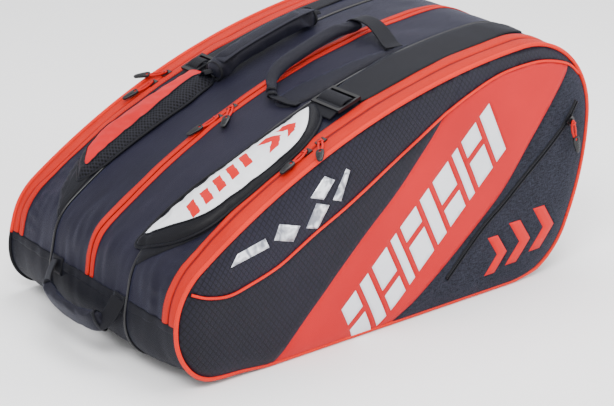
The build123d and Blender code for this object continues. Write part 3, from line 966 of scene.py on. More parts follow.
RM = {'upper': ('ripstop', "panel_fabric", "ripstop_panel"), 'left': ('ripdark', "panel_fabric", "lower_left_panel"),
      'stripe': ('coral', "panel_fabric", "stripe_panel"), 'pocket': ('heather', "pocket_fabric", "pocket_front"),
      'bars': ('white', "panel_fabric", "printed_bars"), 'chev': ('printred', "panel_fabric", "printed_chevrons"),
      'shard': ('silver', "panel_fabric", "printed_shards")}
for side, sg in (("near", -1), ("far", 1)):
    outline, v2, tri, yb, region = side_sheet(sg * 217.0)
    for tag, (mt, sl, nm) in RM.items():
        lift = 0.35 if tag in ('bars', 'chev', 'shard') else 0.0
        v3 = np.stack([v2[:, 0], sg * (Y_EDGE + yb + lift), np.maximum(v2[:, 1], 0.4)], 1)
        ob = subset(v3, np.c_[v2], tri[region == tag], f"{side}_{nm}")
        outward(ob, (0, 0, 0.15))
        solid(ob, 2.4 if lift == 0 else 1.0)
        setmat(ob, M[mt])
        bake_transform(ob)
        if tag == 'upper':
            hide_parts(f"{side}_side_panel", f"{side}_panel_foam", f"{side}_side_panel_lower")
        if tag == 'pocket' and side == "near":
            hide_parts("near_pocket")
    # red cord round the panel's edge
    S = np.linspace(0, TOTAL, 380, endpoint=False)
    x, z, _, _ = prof(S, 0.9, sg * 217.0)
    pts = np.stack([x, np.full(len(x), sg * 216.6), z + 4.6 * smooth((14 - z) / 14.0)], 1)
    up_ = pts[:, 2] > 100.0
    i0 = int(np.argmax(up_ & ~np.roll(up_, 1)))
    pts = np.roll(pts, -i0, axis=0)
    k = int((pts[:, 2] > 100.0).sum())
    if side == "near":
        ob = tube("near_edge_cord", pts, 3.2, closed=True, seg=14, up=(0, 1, 0))
        runs = [(ob, 'piping', "red_piping", ("near_side_piping_upper", "near_side_piping_lower"))]
    else:
        ob = tube("far_edge_cord", pts[:k + 1], 3.2, seg=14, up=(0, 1, 0))
        low = np.r_[pts[k - 1:], pts[:1]]
        ob2 = tube("far_edge_cord_low", low, 3.0, seg=14, up=(0, 1, 0))
        runs = [(ob, 'piping', "red_piping", ("far_side_piping_upper",)), (ob2, 'bind', "black_piping", ("far_side_piping_lower",))]
    for ob, mt_, sl_, rp_ in runs:
        setmat(ob, M[mt_])
        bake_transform(ob)
        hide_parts(*rp_)
    # inner red cord
    ic = catmull(INNER[1:-1], 10)
    keep = in_poly(ic[:, 0], ic[:, 1], outline)
    ic = ic[keep]
    yy = Y_EDGE + bulge(ic[:, 0], ic[:, 1]) + 1.3
    ob = tube(f"{side}_inner_cord", np.stack([ic[:, 0], sg * yy, ic[:, 1]], 1), 2.1, seg=12, up=(0, 1, 0))
    setmat(ob, M['piping'])
    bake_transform(ob)
    # pocket zip: two welts
    pz = catmull(POCKET_ZIP, 8)
    d = np.gradient(pz, axis=0); d /= np.linalg.norm(d, axis=1)[:, None]
    nn = np.c_[-d[:, 1], d[:, 0]]
    for k, (off, r) in enumerate(((2.9, 1.7), (-2.9, 2.3), (0.0, 1.2))):
        q = pz + nn * off
        yy = Y_EDGE + bulge(q[:, 0], q[:, 1]) + (0.2 if k < 2 else -0.2)
        ob = tube(f"{side}_pocket_welt_{k}", np.stack([q[:, 0], sg * yy, q[:, 1]], 1), r, seg=8, up=(0, 1, 0))
        setmat(ob, M['bind'])
        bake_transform(ob)

# ------------------------------------------------------------------ CAD nodes that stay
for n, o in NODES.items():
    if n == 'base_board':
        setmat(o, M['board'])
    elif 'slider' in n:
        setmat(o, M['slider'])
    elif 'ladder' in n:
        setmat(o, M['plastic'])

# @@STRAPS_BEGIN@@
# ------------------------------------------------------------------ straps, pads and handles
S_TAB = np.linspace(S_RT - 120, CUM[6] + 60, 1400)


def sxy(pts, h):
    """(arc length, y) of plan points seen at height h over the skin"""
    out = []
    for x, y in pts:
        xs = place(S_TAB, y, h)[:, 0]
        out.append((float(np.interp(-x, -xs, S_TAB)), y))
    return np.array(out)


def evenly(p, n):
    L = np.r_[0, np.cumsum(np.linalg.norm(np.diff(p, axis=0), axis=1))]
    t = np.linspace(0, L[-1], n)
    return np.stack([np.interp(t, L, p[:, k]) for k in range(p.shape[1])], 1)


def ruled(name, A, B, h, n=60, m=15, t=2.6, edge=1.0, hp=4.0, wob=0.0):
    """strap lying between two edge lines given as plan points"""
    a = evenly(catmull(sxy(A, hp), 8), n)
    b = evenly(catmull(sxy(B, hp), 8), n)
    u = np.linspace(0, 1, m)
    st, ut = np.meshgrid(np.linspace(0, 1, n), u, indexing='ij')
    st, ut = st.ravel(), ut.ravel()
    q = a[np.round(st * (n - 1)).astype(int)] * (1 - ut[:, None]) + b[np.round(st * (n - 1)).astype(int)] * ut[:, None]
    hh = h(st, ut) if callable(h) else np.full(len(st), float(h))
    hh = hh - edge * np.abs(2 * ut - 1) ** 8
    if wob:
        hh = hh + wob * fbm(np.c_[q, 0 * st], 55, 2.2, 2)
    v = place(q[:, 0], q[:, 1], hh)
    f = [(i * m + j, i * m + j + 1, (i + 1) * m + j + 1, (i + 1) * m + j) for i in range(n - 1) for j in range(m - 1)]
    ob = outward(new_mesh(name, v, f, q))
    solid(ob, t)
    return ob


def patch(name, poly, h, spacing=7.0, t=1.6, hp=2.0, ramp=5.0, skin=None):
    """flat sewn-on patch with a soft edge, outline in plan points"""
    o = resample(catmull(sxy(poly, hp), 5, True), spacing * 0.8)
    v2, tri = cdt(o, [], [], spacing)
    e = poly_dist(v2, o)
    hh = 0.7 + h * smooth(e / ramp)
    v = place(v2[:, 0], v2[:, 1], hh + (folds(v2[:, 0], v2[:, 1])))
    ob = outward(new_mesh(name, v, tri, v2))
    solid(ob, t)
    return ob


def poly_dist(p, poly):
    best = np.full(len(p), 1e9)
    n = len(poly)
    for i in range(n):
        a, b = poly[i], poly[(i + 1) % n]
        d = b - a
        t = np.clip(((p - a) @ d) / (d @ d + 1e-9), 0, 1)
        best = np.minimum(best, np.linalg.norm(p - a - t[:, None] * d, axis=1))
    return best


CLOTH = []          # (object, rest coordinates, cap in mm)


def stuffed(name, v2, tri, top, bottom, tags, mats, cap=4.0, pressure=4.0, grow=-0.03, pin_ring=True):
    """closed cushion from one triangulation: a top sheet, a bottom sheet and the wall between them"""
    n = len(v2)
    edge = {}
    for t in tri:
        for a, b in ((t[0], t[1]), (t[1], t[2]), (t[2], t[0])):
            k = (min(a, b), max(a, b))
            edge[k] = None if k in edge else (a, b)
    ring = [e for e in edge.values() if e]
    faces = [tuple(t) for t in tri] + [(t[0] + n, t[2] + n, t[1] + n) for t in tri] + \
            [(b, a, a + n, b + n) for a, b in ring]
    ob = new_mesh(name, np.r_[top, bottom], faces, np.r_[v2, v2])
    bm = bmesh.new(); bm.from_mesh(ob.data); bmesh.ops.recalc_face_normals(bm, faces=bm.faces)
    bm.to_mesh(ob.data); bm.free()
    ob.data.materials.clear()
    keys = list(mats)
    for k in keys:
        ob.data.materials.append(M[mats[k]])
    idx = np.full(len(faces), keys.index('dark'), np.int32)
    for i, tg in enumerate(tags):
        idx[i] = keys.index(tg)
    ob.data.polygons.foreach_set("material_index", idx)
    g = ob.vertex_groups.new(name="pin")
    rv = set()
    for a, b in ring:
        rv |= {int(a), int(b)}
    g.add([i for i in range(n, 2 * n)] + (sorted(rv) if pin_ring else []), 1.0, 'REPLACE')
    CLOTH.append((ob, cap, pressure, grow))
    return ob


def run_cloth():
    """inflate all the pads together, limit how far each point went, and keep the result"""
    if not CLOTH:
        return
    rest = {}
    for ob, cap, pressure, grow in CLOTH:
        c = np.zeros(len(ob.data.vertices) * 3, np.float32)
        ob.data.vertices.foreach_get("co", c)
        rest[ob.name] = c.reshape(-1, 3).copy()
        m = ob.modifiers.new("cloth", "CLOTH")
        s = m.settings
        s.quality = 6
        s.mass = 0.3
        s.tension_stiffness = 18
        s.compression_stiffness = 12
        s.shear_stiffness = 8
        s.bending_stiffness = 0.6
        s.tension_damping = s.compression_damping = s.shear_damping = 12
        s.use_pressure = True
        s.uniform_pressure_force = pressure
        s.shrink_min = grow
        s.effector_weights.gravity = 0
        s.vertex_group_mass = "pin"
        s.pin_stiffness = 1.0
        m.collision_settings.use_collision = False
        m.collision_settings.use_self_collision = False
        m.point_cache.frame_start, m.point_cache.frame_end = 1, 24
    sc = bpy.context.scene
    sc.frame_start, sc.frame_end = 1, 24
    for f in range(1, 21):
        sc.frame_set(f)
    dg = bpy.context.evaluated_depsgraph_get()
    res = {}
    for ob, cap, pressure, grow in CLOTH:
        ev = ob.evaluated_get(dg)
        me = ev.to_mesh()
        c = np.zeros(len(me.vertices) * 3, np.float32)
        me.vertices.foreach_get("co", c)
        res[ob.name] = c.reshape(-1, 3).copy()
        ev.to_mesh_clear()
    for ob, cap, pressure, grow in CLOTH:
        ob.modifiers.remove(ob.modifiers["cloth"])
        a, b = rest[ob.name], res[ob.name]
        d = b - a
        l = np.linalg.norm(d, axis=1)
        k = np.where(l > cap * MM, cap * MM / np.maximum(l, 1e-9), 1.0)
        ob.data.vertices.foreach_set("co", (a + d * k[:, None]).astype(np.float32).ravel())
        ob.data.update()
        print("CLOTH", ob.name, "mean move mm", round(float(l.mean() / MM), 2), "max", round(float(l.max() / MM), 2))
    sc.frame_set(1)


def pad(name, outer, panel, prints, hmax, slope, spacing, mats, hp_out=5.0, hp_in=16.0, far=False, cap=2.6, grow=-0.012):
    o = resample(catmull(sxy(outer, hp_out), 6, True), spacing * 0.9)
    p = resample(catmull(sxy(panel, hp_in), 6, True), spacing * 0.9)
    pr = [resample(sxy(q, hp_in), spacing * 0.9) for q in prints]
    v2, tri = cdt(o, [], [p] + pr, spacing)
    e = poly_dist(v2, o)
    top = 2.2 + hmax * (1 - np.exp(-e / slope))
    e2 = poly_dist(v2, p)
    top -= 1.3 * np.exp(-(e2 / 3.5) ** 2)
    c = v2[tri].mean(1)
    inside = in_poly(c[:, 0], c[:, 1], p)
    tags = np.where(inside, 'panel', 'dark').astype(object)
    for q in pr:
        tags[in_poly(c[:, 0], c[:, 1], q)] = 'print'
    lower = in_poly(c[:, 0], c[:, 1], o) & ~inside
    if far:
        tags[lower & (np.abs(c[:, 1]) < np.interp(c[:, 0], *far))] = 'mesh'
    s, y = v2[:, 0], v2[:, 1]
    ob = stuffed(name, v2, tri, place(s, y, top), place(s, y, 0 * s + 1.2), tags, mats, cap=cap, grow=grow)
    ring = [int(np.argmin(((v2 - q) ** 2).sum(1))) for q in p]
    return ob, o, ring, pr


NP_WHITE = [(-344, -90), (-290, -94), (-235, -102), (-180, -109), (-130, -113), (-84, -114), (-96, -138),
            (-120, -160), (-152, -172), (-195, -173), (-245, -169), (-288, -158), (-320, -128)]
NP_OUT = [(-353, -86), (-332, -83), (-295, -85), (-250, -91), (-205, -99), (-160, -104), (-115, -108), (-76, -108),
          (-66, -115), (-72, -136), (-92, -158), (-122, -174), (-155, -181.5), (-200, -182.5), (-250, -180),
          (-292, -172), (-326, -146), (-347, -110)]
NP_PRINT = []
for i in range(5):
    a = -292 + 22 * i
    NP_PRINT.append([(a, -118), (a + 12, -119), (a + 4, -149), (a - 8, -148)])
NP_PRINT += [[(-176, -122), (-160, -122), (-146, -139), (-162, -156), (-178, -156), (-162, -139)],
             [(-146, -123), (-132, -123), (-118, -137), (-130, -150), (-144, -152), (-134, -138)]]
near_pad, npo, npp, npr = pad("near_pad", NP_OUT, NP_WHITE, NP_PRINT, 10.5, 7.0, 5.0,
                              {'dark': 'bind', 'panel': 'padsilver', 'print': 'printred'}, cap=2.6, grow=-0.012)
FP_RED = [(-306, 118), (-292, 140), (-264, 153), (-225, 155), (-184, 151), (-145, 146), (-103, 140),
          (-103, 112), (-145, 107), (-190, 106), (-235, 109), (-275, 113)]
FP_OUT = [(-318, 112), (-312, 130), (-296, 150), (-270, 163), (-240, 167), (-215, 163), (-180, 159), (-145, 154),
          (-112, 148), (-94, 140), (-92, 104), (-104, 84), (-129, 80), (-156, 78), (-198, 84), (-240, 90), (-279, 98)]
far_pad, fpo, fpp, fpr = pad("far_pad", FP_OUT, FP_RED, [], 15.5, 8.5, 5.0,
                             {'dark': 'bind', 'panel': 'padred', 'mesh': 'mesh', 'print': 'white'}, 5.0, 18.0,
                             far=([CUM[4], CUM[6]], [118, 118]))


def swept_pad(name, path, rx, rz, seg=28, step=5.0, up=(0, 0, 1), flat=0.35, cap=3.0, grow=-0.04, pins=2, slim=0.0):
    """padded tube round a handle, closed at both ends"""
    p = evenly(catmull(path, 8), max(8, int(np.linalg.norm(np.diff(np.array(path), axis=0), axis=1).sum() / step)))
    n = len(p)
    t = np.linspace(0, 1, n)
    endk = 0.62 + 0.38 * np.minimum(1, np.minimum(t, 1 - t) * n / 3.0) ** 0.5
    endk = endk * (1 - slim * (1 - smooth(t / 0.3)))

    def sq(ca, sa):
        return (np.sign(ca) * abs(ca) ** (1 - flat), np.sign(sa) * abs(sa) ** (1 - flat))
    ob = tube(name, p, rz * endk, seg=seg, ry=rx * endk, up=up, squash_fn=sq)
    g = ob.vertex_groups.new(name="pin")
    k = seg * pins
    g.add(list(range(k)) + list(range((n - pins) * seg, n * seg)), 1.0, 'REPLACE')
    CLOTH.append((ob, cap, 3.0, grow))
    return ob, p


def sl(x, y, h):
    """3-D point over the skin at plan x, width y and height h"""
    q = sxy([(x, y)], h)[0]
    return place(q[0], q[1], h).reshape(3)


# near carry handle: padded grip on two webbing legs
ng_path = [sl(-92, -50, 9), sl(-82, -34, 13), sl(-64, -18, 16.5), sl(-40, -10, 18.5), sl(0, -6, 19), sl(40, -2, 19),
           sl(74, -2, 19), sl(104, -7, 18)]
near_grip, ngp = swept_pad("near_grip_pad", ng_path, 10.5, 7.0, seg=24, flat=0.25, cap=2.5, slim=0.42)
# far carry handle: wrap-round sleeve
fs_path = [sl(-100, 88, 15), sl(-60, 88, 17.5), (0, 88, sl(0, 88, 18)[2]), sl(50, 89, 18), sl(88, 92, 15)]
far_sleeve, fsp = swept_pad("far_sleeve_pad", fs_path, 18.5, 13.0, seg=32, flat=0.3, cap=3.0)
# end handle: soft loop
eh_path = [(-399, -74, 68), (-405, -56, 62.5), (-408, -28, 60), (-408.5, 0, 59.5), (-408, 28, 60), (-405, 56, 62.5),
           (-399, 74, 68)]
end_grip, egp = swept_pad("end_grip_pad", eh_path, 6.5, 18.5, seg=24, up=(-0.42, 0, 0.9), flat=0.3, cap=2.0)
run_cloth()
for ob, cap, pr_, gr in CLOTH:
    m = ob.modifiers.new("smooth", "SUBSURF")
    m.levels = m.render_levels = 1
    ob.data.polygons.foreach_set("use_smooth", [True] * len(ob.data.polygons))
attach(near_pad, "bag"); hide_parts("near_shoulder_pad")
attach(far_pad, "bag"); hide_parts("far_shoulder_pad")
done(near_grip, 'handle', "near_handle", "handle_fabric", "near_handle_grip")
done(far_sleeve, 'handle', "far_handle", "handle_fabric", "far_handle_sleeve")
done(end_grip, 'handle', "end_handle", "handle_fabric", "end_handle_grip")


def on_surface(ob, pts, lift=0.0):
    """drop plan points onto a pad's finished surface"""
    dg = bpy.context.evaluated_depsgraph_get()
    dg.update()
    from mathutils.bvhtree import BVHTree
    t = BVHTree.FromObject(ob, dg)
    out = []
    for q in pts:
        h = t.ray_cast(Vector((q[0] * MM, q[1] * MM, 0.6)), Vector((0, 0, -1)))
        out.append((q[0], q[1], h[0].z / MM + lift) if h[0] else (q[0], q[1], np.nan))
    return np.array(out)


def bound_edge(name, ob, ring, r, body, slot, h, mat='bind'):
    """rolled binding along an outline in (arc length, y)"""
    pts = place(ring[:, 0], ring[:, 1], h)
    o = tube(name, evenly(np.r_[pts, pts[:1]], 220)[:-1], r, closed=True, seg=10, up=(0, 0.2, 1))
    return done(o, mat, body, slot)


bound_edge("near_pad_binding", near_pad, npo, 2.2, "bag", "webbing", 3.2)
bound_edge("far_pad_binding", far_pad, fpo, 2.2, "bag", "webbing", 3.2)

# rolled seam between a pad's printed face and its side
for nm, ob, ring in (("near", near_pad, npp), ("far", far_pad, fpp)):
    q = np.array([ob.data.vertices[i].co[:] for i in ring]) / MM
    nr = np.array([ob.data.vertices[i].normal[:] for i in ring])
    q = q + nr * 0.35
    o = tube(f"{nm}_pad_seam", evenly(np.r_[q, q[:1]], 220)[:-1], 1.25, closed=True, seg=8, up=(0, 0.2, 1))
    done(o, 'bind', "bag", "webbing")

# sewn webbing patches under the lower ends of the pads
ob = patch("near_lower_patch", [(-318, -96), (-340, -97), (-359, -99), (-364, -104), (-352, -124), (-332, -146), (-308, -164),
                                (-283, -176), (-230, -181), (-190, -180), (-210, -150), (-300, -108)], 1.8)
done(ob, 'web', "bag", "webbing", "near_strap_lower")
ob = ruled("near_lower_strap", [(-318, -92), (-338, -94), (-352, -97), (-362, -99)],
           [(-308, -140), (-328, -130), (-346, -116), (-360, -104)], lambda s, u: 4.5 - 2.2 * s, 24, 13)
done(ob, 'web', "bag", "webbing")
ob = patch("far_lower_patch", [(-300, 101), (-342, 101), (-362, 102), (-364, 105), (-348, 126), (-326, 146), (-300, 160), (-270, 164),
                               (-286, 130)], 1.8)
done(ob, 'web', "bag", "webbing", "far_strap_lower")
ob = ruled("far_lower_strap", [(-306, 104), (-330, 103), (-350, 102), (-362, 102)],
           [(-300, 146), (-322, 136), (-343, 120), (-360, 107)], lambda s, u: 4.5 - 2.2 * s, 24, 13)
done(ob, 'web', "bag", "webbing")

# upper straps
ob = ruled("near_upper_strap", [(-27, -112), (-5, -105), (30, -101), (67, -97), (110, -96), (150, -97), (200, -102), (250, -109), (294, -118)],
           [(-27, -168), (-5, -172), (46, -172), (90, -171), (123, -169), (164, -170), (200, -170), (250, -166), (290, -158)],
           lambda s, u: 3.4 + 2.0 * np.exp(-s / 0.03) + 0.5 * np.sin(s * 9), 110, 17, 2.8, wob=0.7)
done(ob, 'web', "bag", "webbing", "near_strap_upper")
ob = ruled("far_upper_strap", [(-60, 131), (0, 129), (70, 129), (150, 132), (222, 136)],
           [(-60, 162), (0, 164), (70, 165), (150, 165), (222, 163)],
           lambda s, u: 3.4 + 2.0 * np.exp(-s / 0.03), 80, 13, 2.6, wob=0.6)
done(ob, 'web', "bag", "webbing", "far_strap_upper")

for nm, xc, yc, half, sg in (("near", -44, -140, 31, -1), ("far", -80, 146, 17.5, 1)):
    w = half - 5
    # tab from the pad to the lock's lower bar, folded round it
    xs = [xc - 36, xc - 28, xc - 22, xc - 19.5, xc - 16, xc - 14.5]
    hs = [3.5, 5.5, 7.0, 9.6, 9.0, 4.5] if nm == "near" else [3.5, 5.5, 7.0, 9.6, 9.0, 4.5]
    a = [(x, yc - w) for x in xs]
    pts, hh = [], np.interp(np.linspace(0, 1, 26), np.linspace(0, 1, len(hs)), hs)
    xi = np.interp(np.linspace(0, 1, 26), np.linspace(0, 1, len(xs)), xs)
    mid = np.array([sl(x, yc, h) for x, h in zip(xi, hh)])
    o = ribbon(f"{nm}_lock_tab", mid, (0, 1, 0), 2 * w, 2.4)
    done(o, 'web', "bag", "webbing")
    # strap looped over the middle bar
    xi = np.array([-12.5, -11.5, -9.0, -4.5, 0, 4.5, 9.0, 11.0, 12.5]) * 0.94
    dd = np.array([12.2, 14.6, 17.2, 18.6, 18.9, 18.6, 17.2, 14.6, 12.2])
    pts = []
    for a_, d_ in zip(xi, dd):
        ang = math.asin((xc + a_ - CT[0]) / RT)
        pts.append((CT[0] + (RT + d_) * math.sin(ang), yc, CT[1] + (RT + d_) * math.cos(ang)))
    o = ribbon(f"{nm}_lock_loop", catmull(pts, 5), (0, 1, 0), 2 * w, 2.2)
    done(o, 'web', f"{nm}_lock", "webbing")

# painted shadow of the near handle: a slightly raised dark cloth patch laid on the bag where there is only shade
ob = patch("near_handle_shade_patch", [(-94, -62), (-82, -46), (-55, -44), (0, -56), (60, -70), (118, -88), (112, -97), (60, -97),
                                (0, -97), (-50, -96), (-84, -84)], 1.9)
done(ob, 'handle', "bag", "handle_fabric")


def rib(name, pts, across, width, t, body, slot, *rep, mat='web', per=8):
    o = ribbon(name, catmull(pts, per), across, width, t)
    return done(o, mat, body, slot, *rep)


def sewn(name, pts, across, width, t, moving, a, b, slot, *rep, per=8):
    """webbing whose foot is sewn to the bag and whose other end runs up to a handle"""
    o = ribbon(name, catmull(pts, per), across, width, t)
    setmat(o, M['web'])
    tuple(np.array(a) * MM)
    tuple(np.array(b) * MM)
    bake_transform(o)
    if rep:
        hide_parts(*rep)
    return o


# legs of the near handle
leg = [sl(100, 8, 16), sl(101, 5, 22.5), sl(103, -4, 26.5), sl(106, -20, 26.0), sl(108, -38, 21.0), sl(106, -58, 12.5),
       sl(103, -76, 5.0), sl(102, -88, 2.8)]
sewn("near_leg_right", leg, (1, 0.12, 0), 31, 2.4, "near_handle", leg[-1], leg[-3], "webbing", "near_handle_webbing")
leg = [sl(-88, -42, 10.0), sl(-89, -52, 8.6), sl(-86, -64, 6.4), sl(-83, -76, 4.2), sl(-79, -86, 2.9), sl(-77, -92, 2.6)]
sewn("near_leg_left", leg, (1, 0.3, 0), 15, 2.2, "near_handle", leg[-1], leg[-4], "webbing")
# binding round the grip's ends
for k, i in enumerate((1, 3)):
    p = ngp[i]
    t_ = ngp[i + 1] - ngp[i - 1]; t_ /= np.linalg.norm(t_)
    u_ = np.array((0, 0, 1.0)); u_ -= t_ * (u_ @ t_); u_ /= np.linalg.norm(u_)
    w_ = np.cross(t_, u_)
    ring = [p + u_ * 5.2 * math.cos(a) + w_ * 7.0 * math.sin(a) for a in np.linspace(0, 2 * math.pi, 25)[:-1]]
    o = tube(f"near_grip_tie_{k}", ring, 0.9, closed=True, seg=8, ry=3.2, up=tuple(u_))
    done(o, 'bind', "near_handle", "webbing")

# far handle webs and the sleeve's closing flap
for k, (x, hx) in enumerate(((-103, 15.0), (88, 15.0))):
    pts = [sl(x, 84, hx + 2), sl(x, 90, hx + 6.0), sl(x, 98, hx + 2.0), sl(x, 106, 9.0), sl(x, 113, 5.2), sl(x, 119, 3.2)]
    sewn(f"far_web_{k}", pts, (1, 0, 0), 24, 2.2, "far_handle", pts[-1], pts[-4], "webbing",
         *(["far_handle_webbing"] if k == 0 else []))
fl = []
for i in range(2, len(fsp) - 2):
    fl.append(fsp[i] + np.array((0, -6, 13.6)))
o = ribbon("far_sleeve_flap", fl, (0, 0.95, -0.12), 26, 1.6)
done(o, 'handle', "far_handle", "handle_fabric")
for k, i in enumerate((1, len(fsp) - 2)):
    p = fsp[i]
    ring = [p + np.array((0, 18.6 * math.sin(a), 13.4 * math.cos(a))) for a in np.linspace(0, 2 * math.pi, 33)[:-1]]
    o = tube(f"far_sleeve_rim_{k}", ring, 1.6, closed=True, seg=8, ry=2.2, up=(0, 0, 1))
    done(o, 'bind', "far_handle", "webbing")

# end handle webbing, ties and tabs
for k, sg in enumerate((-1, 1)):
    pts = [(-381.0, sg * 85, 99.0), (-384.0, sg * 84.5, 95.0), (-389.5, sg * 84, 87.0), (-395, sg * 82, 78), (-400, sg * 76, 70),
           (-403.5, sg * 68, 65)]
    sewn(f"end_web_{k}", pts, (0.15, sg * 0.9, -0.35), 25, 2.4, "end_handle", pts[0], pts[2], "webbing",
         *(["end_handle_webbing"] if k == 0 else []))
    p = np.array((-402.0, sg * 66.0, 65.2))
    t_ = np.array((-0.35, -sg * 1.0, -0.30)); t_ /= np.linalg.norm(t_)
    u_ = np.array((-0.42, 0, 0.9)); u_ -= t_ * (u_ @ t_); u_ /= np.linalg.norm(u_)
    w_ = np.cross(t_, u_)
    ring = [p + u_ * 18.4 * math.cos(a) + w_ * 7.6 * math.sin(a) for a in np.linspace(0, 2 * math.pi, 33)[:-1]]
    o = tube(f"end_grip_tie_{k}", ring, 0.9, closed=True, seg=8, ry=3.4, up=tuple(u_))
    done(o, 'bind', "end_handle", "webbing")
ys_ = []
for k, sg in enumerate((-1, 1)):
    ob = grid(f"end_tab_{k}", np.linspace(S_L - 4, S_L + 20, 8), sg * np.linspace(68, 96, 9), 2.2, 0.3)
    solid(ob, 2.2)
    done(ob, 'web', "bag", "webbing", *(["end_handle_tabs"] if k == 0 else []))

# ------------------------------------------------------------------ stitching
def stitches(name, pts, nrm, body, slot, pitch=4.2, length=2.6, r=0.32, mat='thread', lift=0.1):
    """row of raised stitches along a line"""
    p = np.asarray(pts, float)
    L = np.r_[0, np.cumsum(np.linalg.norm(np.diff(p, axis=0), axis=1))]
    nv = np.broadcast_to(np.asarray(nrm, float), p.shape)
    V, F = [], []
    k = int(L[-1] / pitch)
    for i in range(k):
        a, b = i * pitch + 0.4, i * pitch + 0.4 + length
        A = np.array([np.interp(a, L, p[:, j]) for j in range(3)])
        B = np.array([np.interp(b, L, p[:, j]) for j in range(3)])
        n_ = np.array([np.interp(a, L, nv[:, j]) for j in range(3)]); n_ /= np.linalg.norm(n_)
        t_ = (B - A) / (np.linalg.norm(B - A) + 1e-9)
        w_ = np.cross(t_, n_)
        i0 = len(V)
        for q, rr in ((A, 0.5), (A + t_ * 0.5, 1), (B - t_ * 0.5, 1), (B, 0.5)):
            for c_ in range(5):
                g = 2 * math.pi * c_ / 5
                V.append(q + n_ * (lift + rr * r * math.cos(g)) + w_ * rr * r * 1.2 * math.sin(g))
        for m_ in range(3):
            for c_ in range(5):
                d_ = (c_ + 1) % 5
                F.append((i0 + m_ * 5 + c_, i0 + m_ * 5 + d_, i0 + (m_ + 1) * 5 + d_, i0 + (m_ + 1) * 5 + c_))
        F.append(tuple(i0 + c_ for c_ in range(5))[::-1])
        F.append(tuple(i0 + 15 + c_ for c_ in range(5)))
    ob = new_mesh(name, V, F)
    return ob


def sewn_line(s0, s1, y, h, n=200):
    S = np.linspace(s0, s1, n)
    yy = y(S) if callable(y) else np.full(n, float(y))
    _, _, nx, nz = prof(S)
    return place(S, yy, h + folds(S, yy)), np.stack([nx, 0 * nx, nz], 1)


rows = []
for side, sg in (("near", -1), ("far", 1)):
    obs = []
    for off, h in ((1.6, 1.25), (0.0, 0.35)):
        p, nv = sewn_line(S_R + 5, S_L - 5, lambda S: sg * (band_y(S) + (off if off else -1.6)), h, 420)
        obs.append(stitches(f"{side}_st{off}", p, nv, "bag", "red_tape"))
    o = join(f"{side}_tape_stitching", obs)
    done(o, 'thread', "bag", "red_tape")
    obs = []
    for dz in (0.0, 6.0):
        p = []
        for y in np.linspace(sg * 104, sg * 212, 60):
            p.append(place(S_L + 2.5 + dz, y, 0.35 + folds(S_L + 2.5 + dz, y)[0]).reshape(3))
        obs.append(stitches("t", p, (-1, 0, 0), "bag", "base_fabric"))
    o = join(f"{side}_hem_stitching", obs)
    done(o, 'thread', "bag", "base_fabric")
obs = []
for dz in (0.0, 6.0):
    p = [place(S_L + 2.5 + dz, y, 0.35 + folds(S_L + 2.5 + dz, y)[0]).reshape(3) for y in np.linspace(-96, 96, 100)]
    obs.append(stitches("t", p, (-1, 0, 0), "bag", "base_fabric"))
done(join("mid_hem_stitching", obs), 'thread', "bag", "base_fabric")
# hem band along the top of the base cloth
for nm, a, b in (("near", -214, -102), ("mid", -98, 98), ("far", 102, 214)):
    ob = grid(f"{nm}_hem", np.linspace(S_L - 1.0, S_L + 11.5, 6), ylist(a, b, 5), lambda s, y: 0.9 - 0.5 * (np.abs((s - S_L - 5.2) / 6.3)) ** 6)
    solid(ob, 1.0)
    done(ob, 'base', "bag", "base_fabric")

# ------------------------------------------------------------------ zip pulls
def frame_at(x, d, yaw, y):
    """origin and axes of a slider standing on the long top arc"""
    phi = math.asin((x - CT[0]) / RT)
    o = np.array((CT[0] + (RT + d) * math.sin(phi), y, CT[1] + (RT + d) * math.cos(phi)))
    U = np.array((math.cos(phi), 0, -math.sin(phi)))
    W = np.array((math.sin(phi), 0, math.cos(phi)))
    V = np.array((0, 1.0, 0))
    c, s = math.cos(math.radians(yaw)), math.sin(math.radians(yaw))
    return o, U * c + V * s, V * c - U * s, W


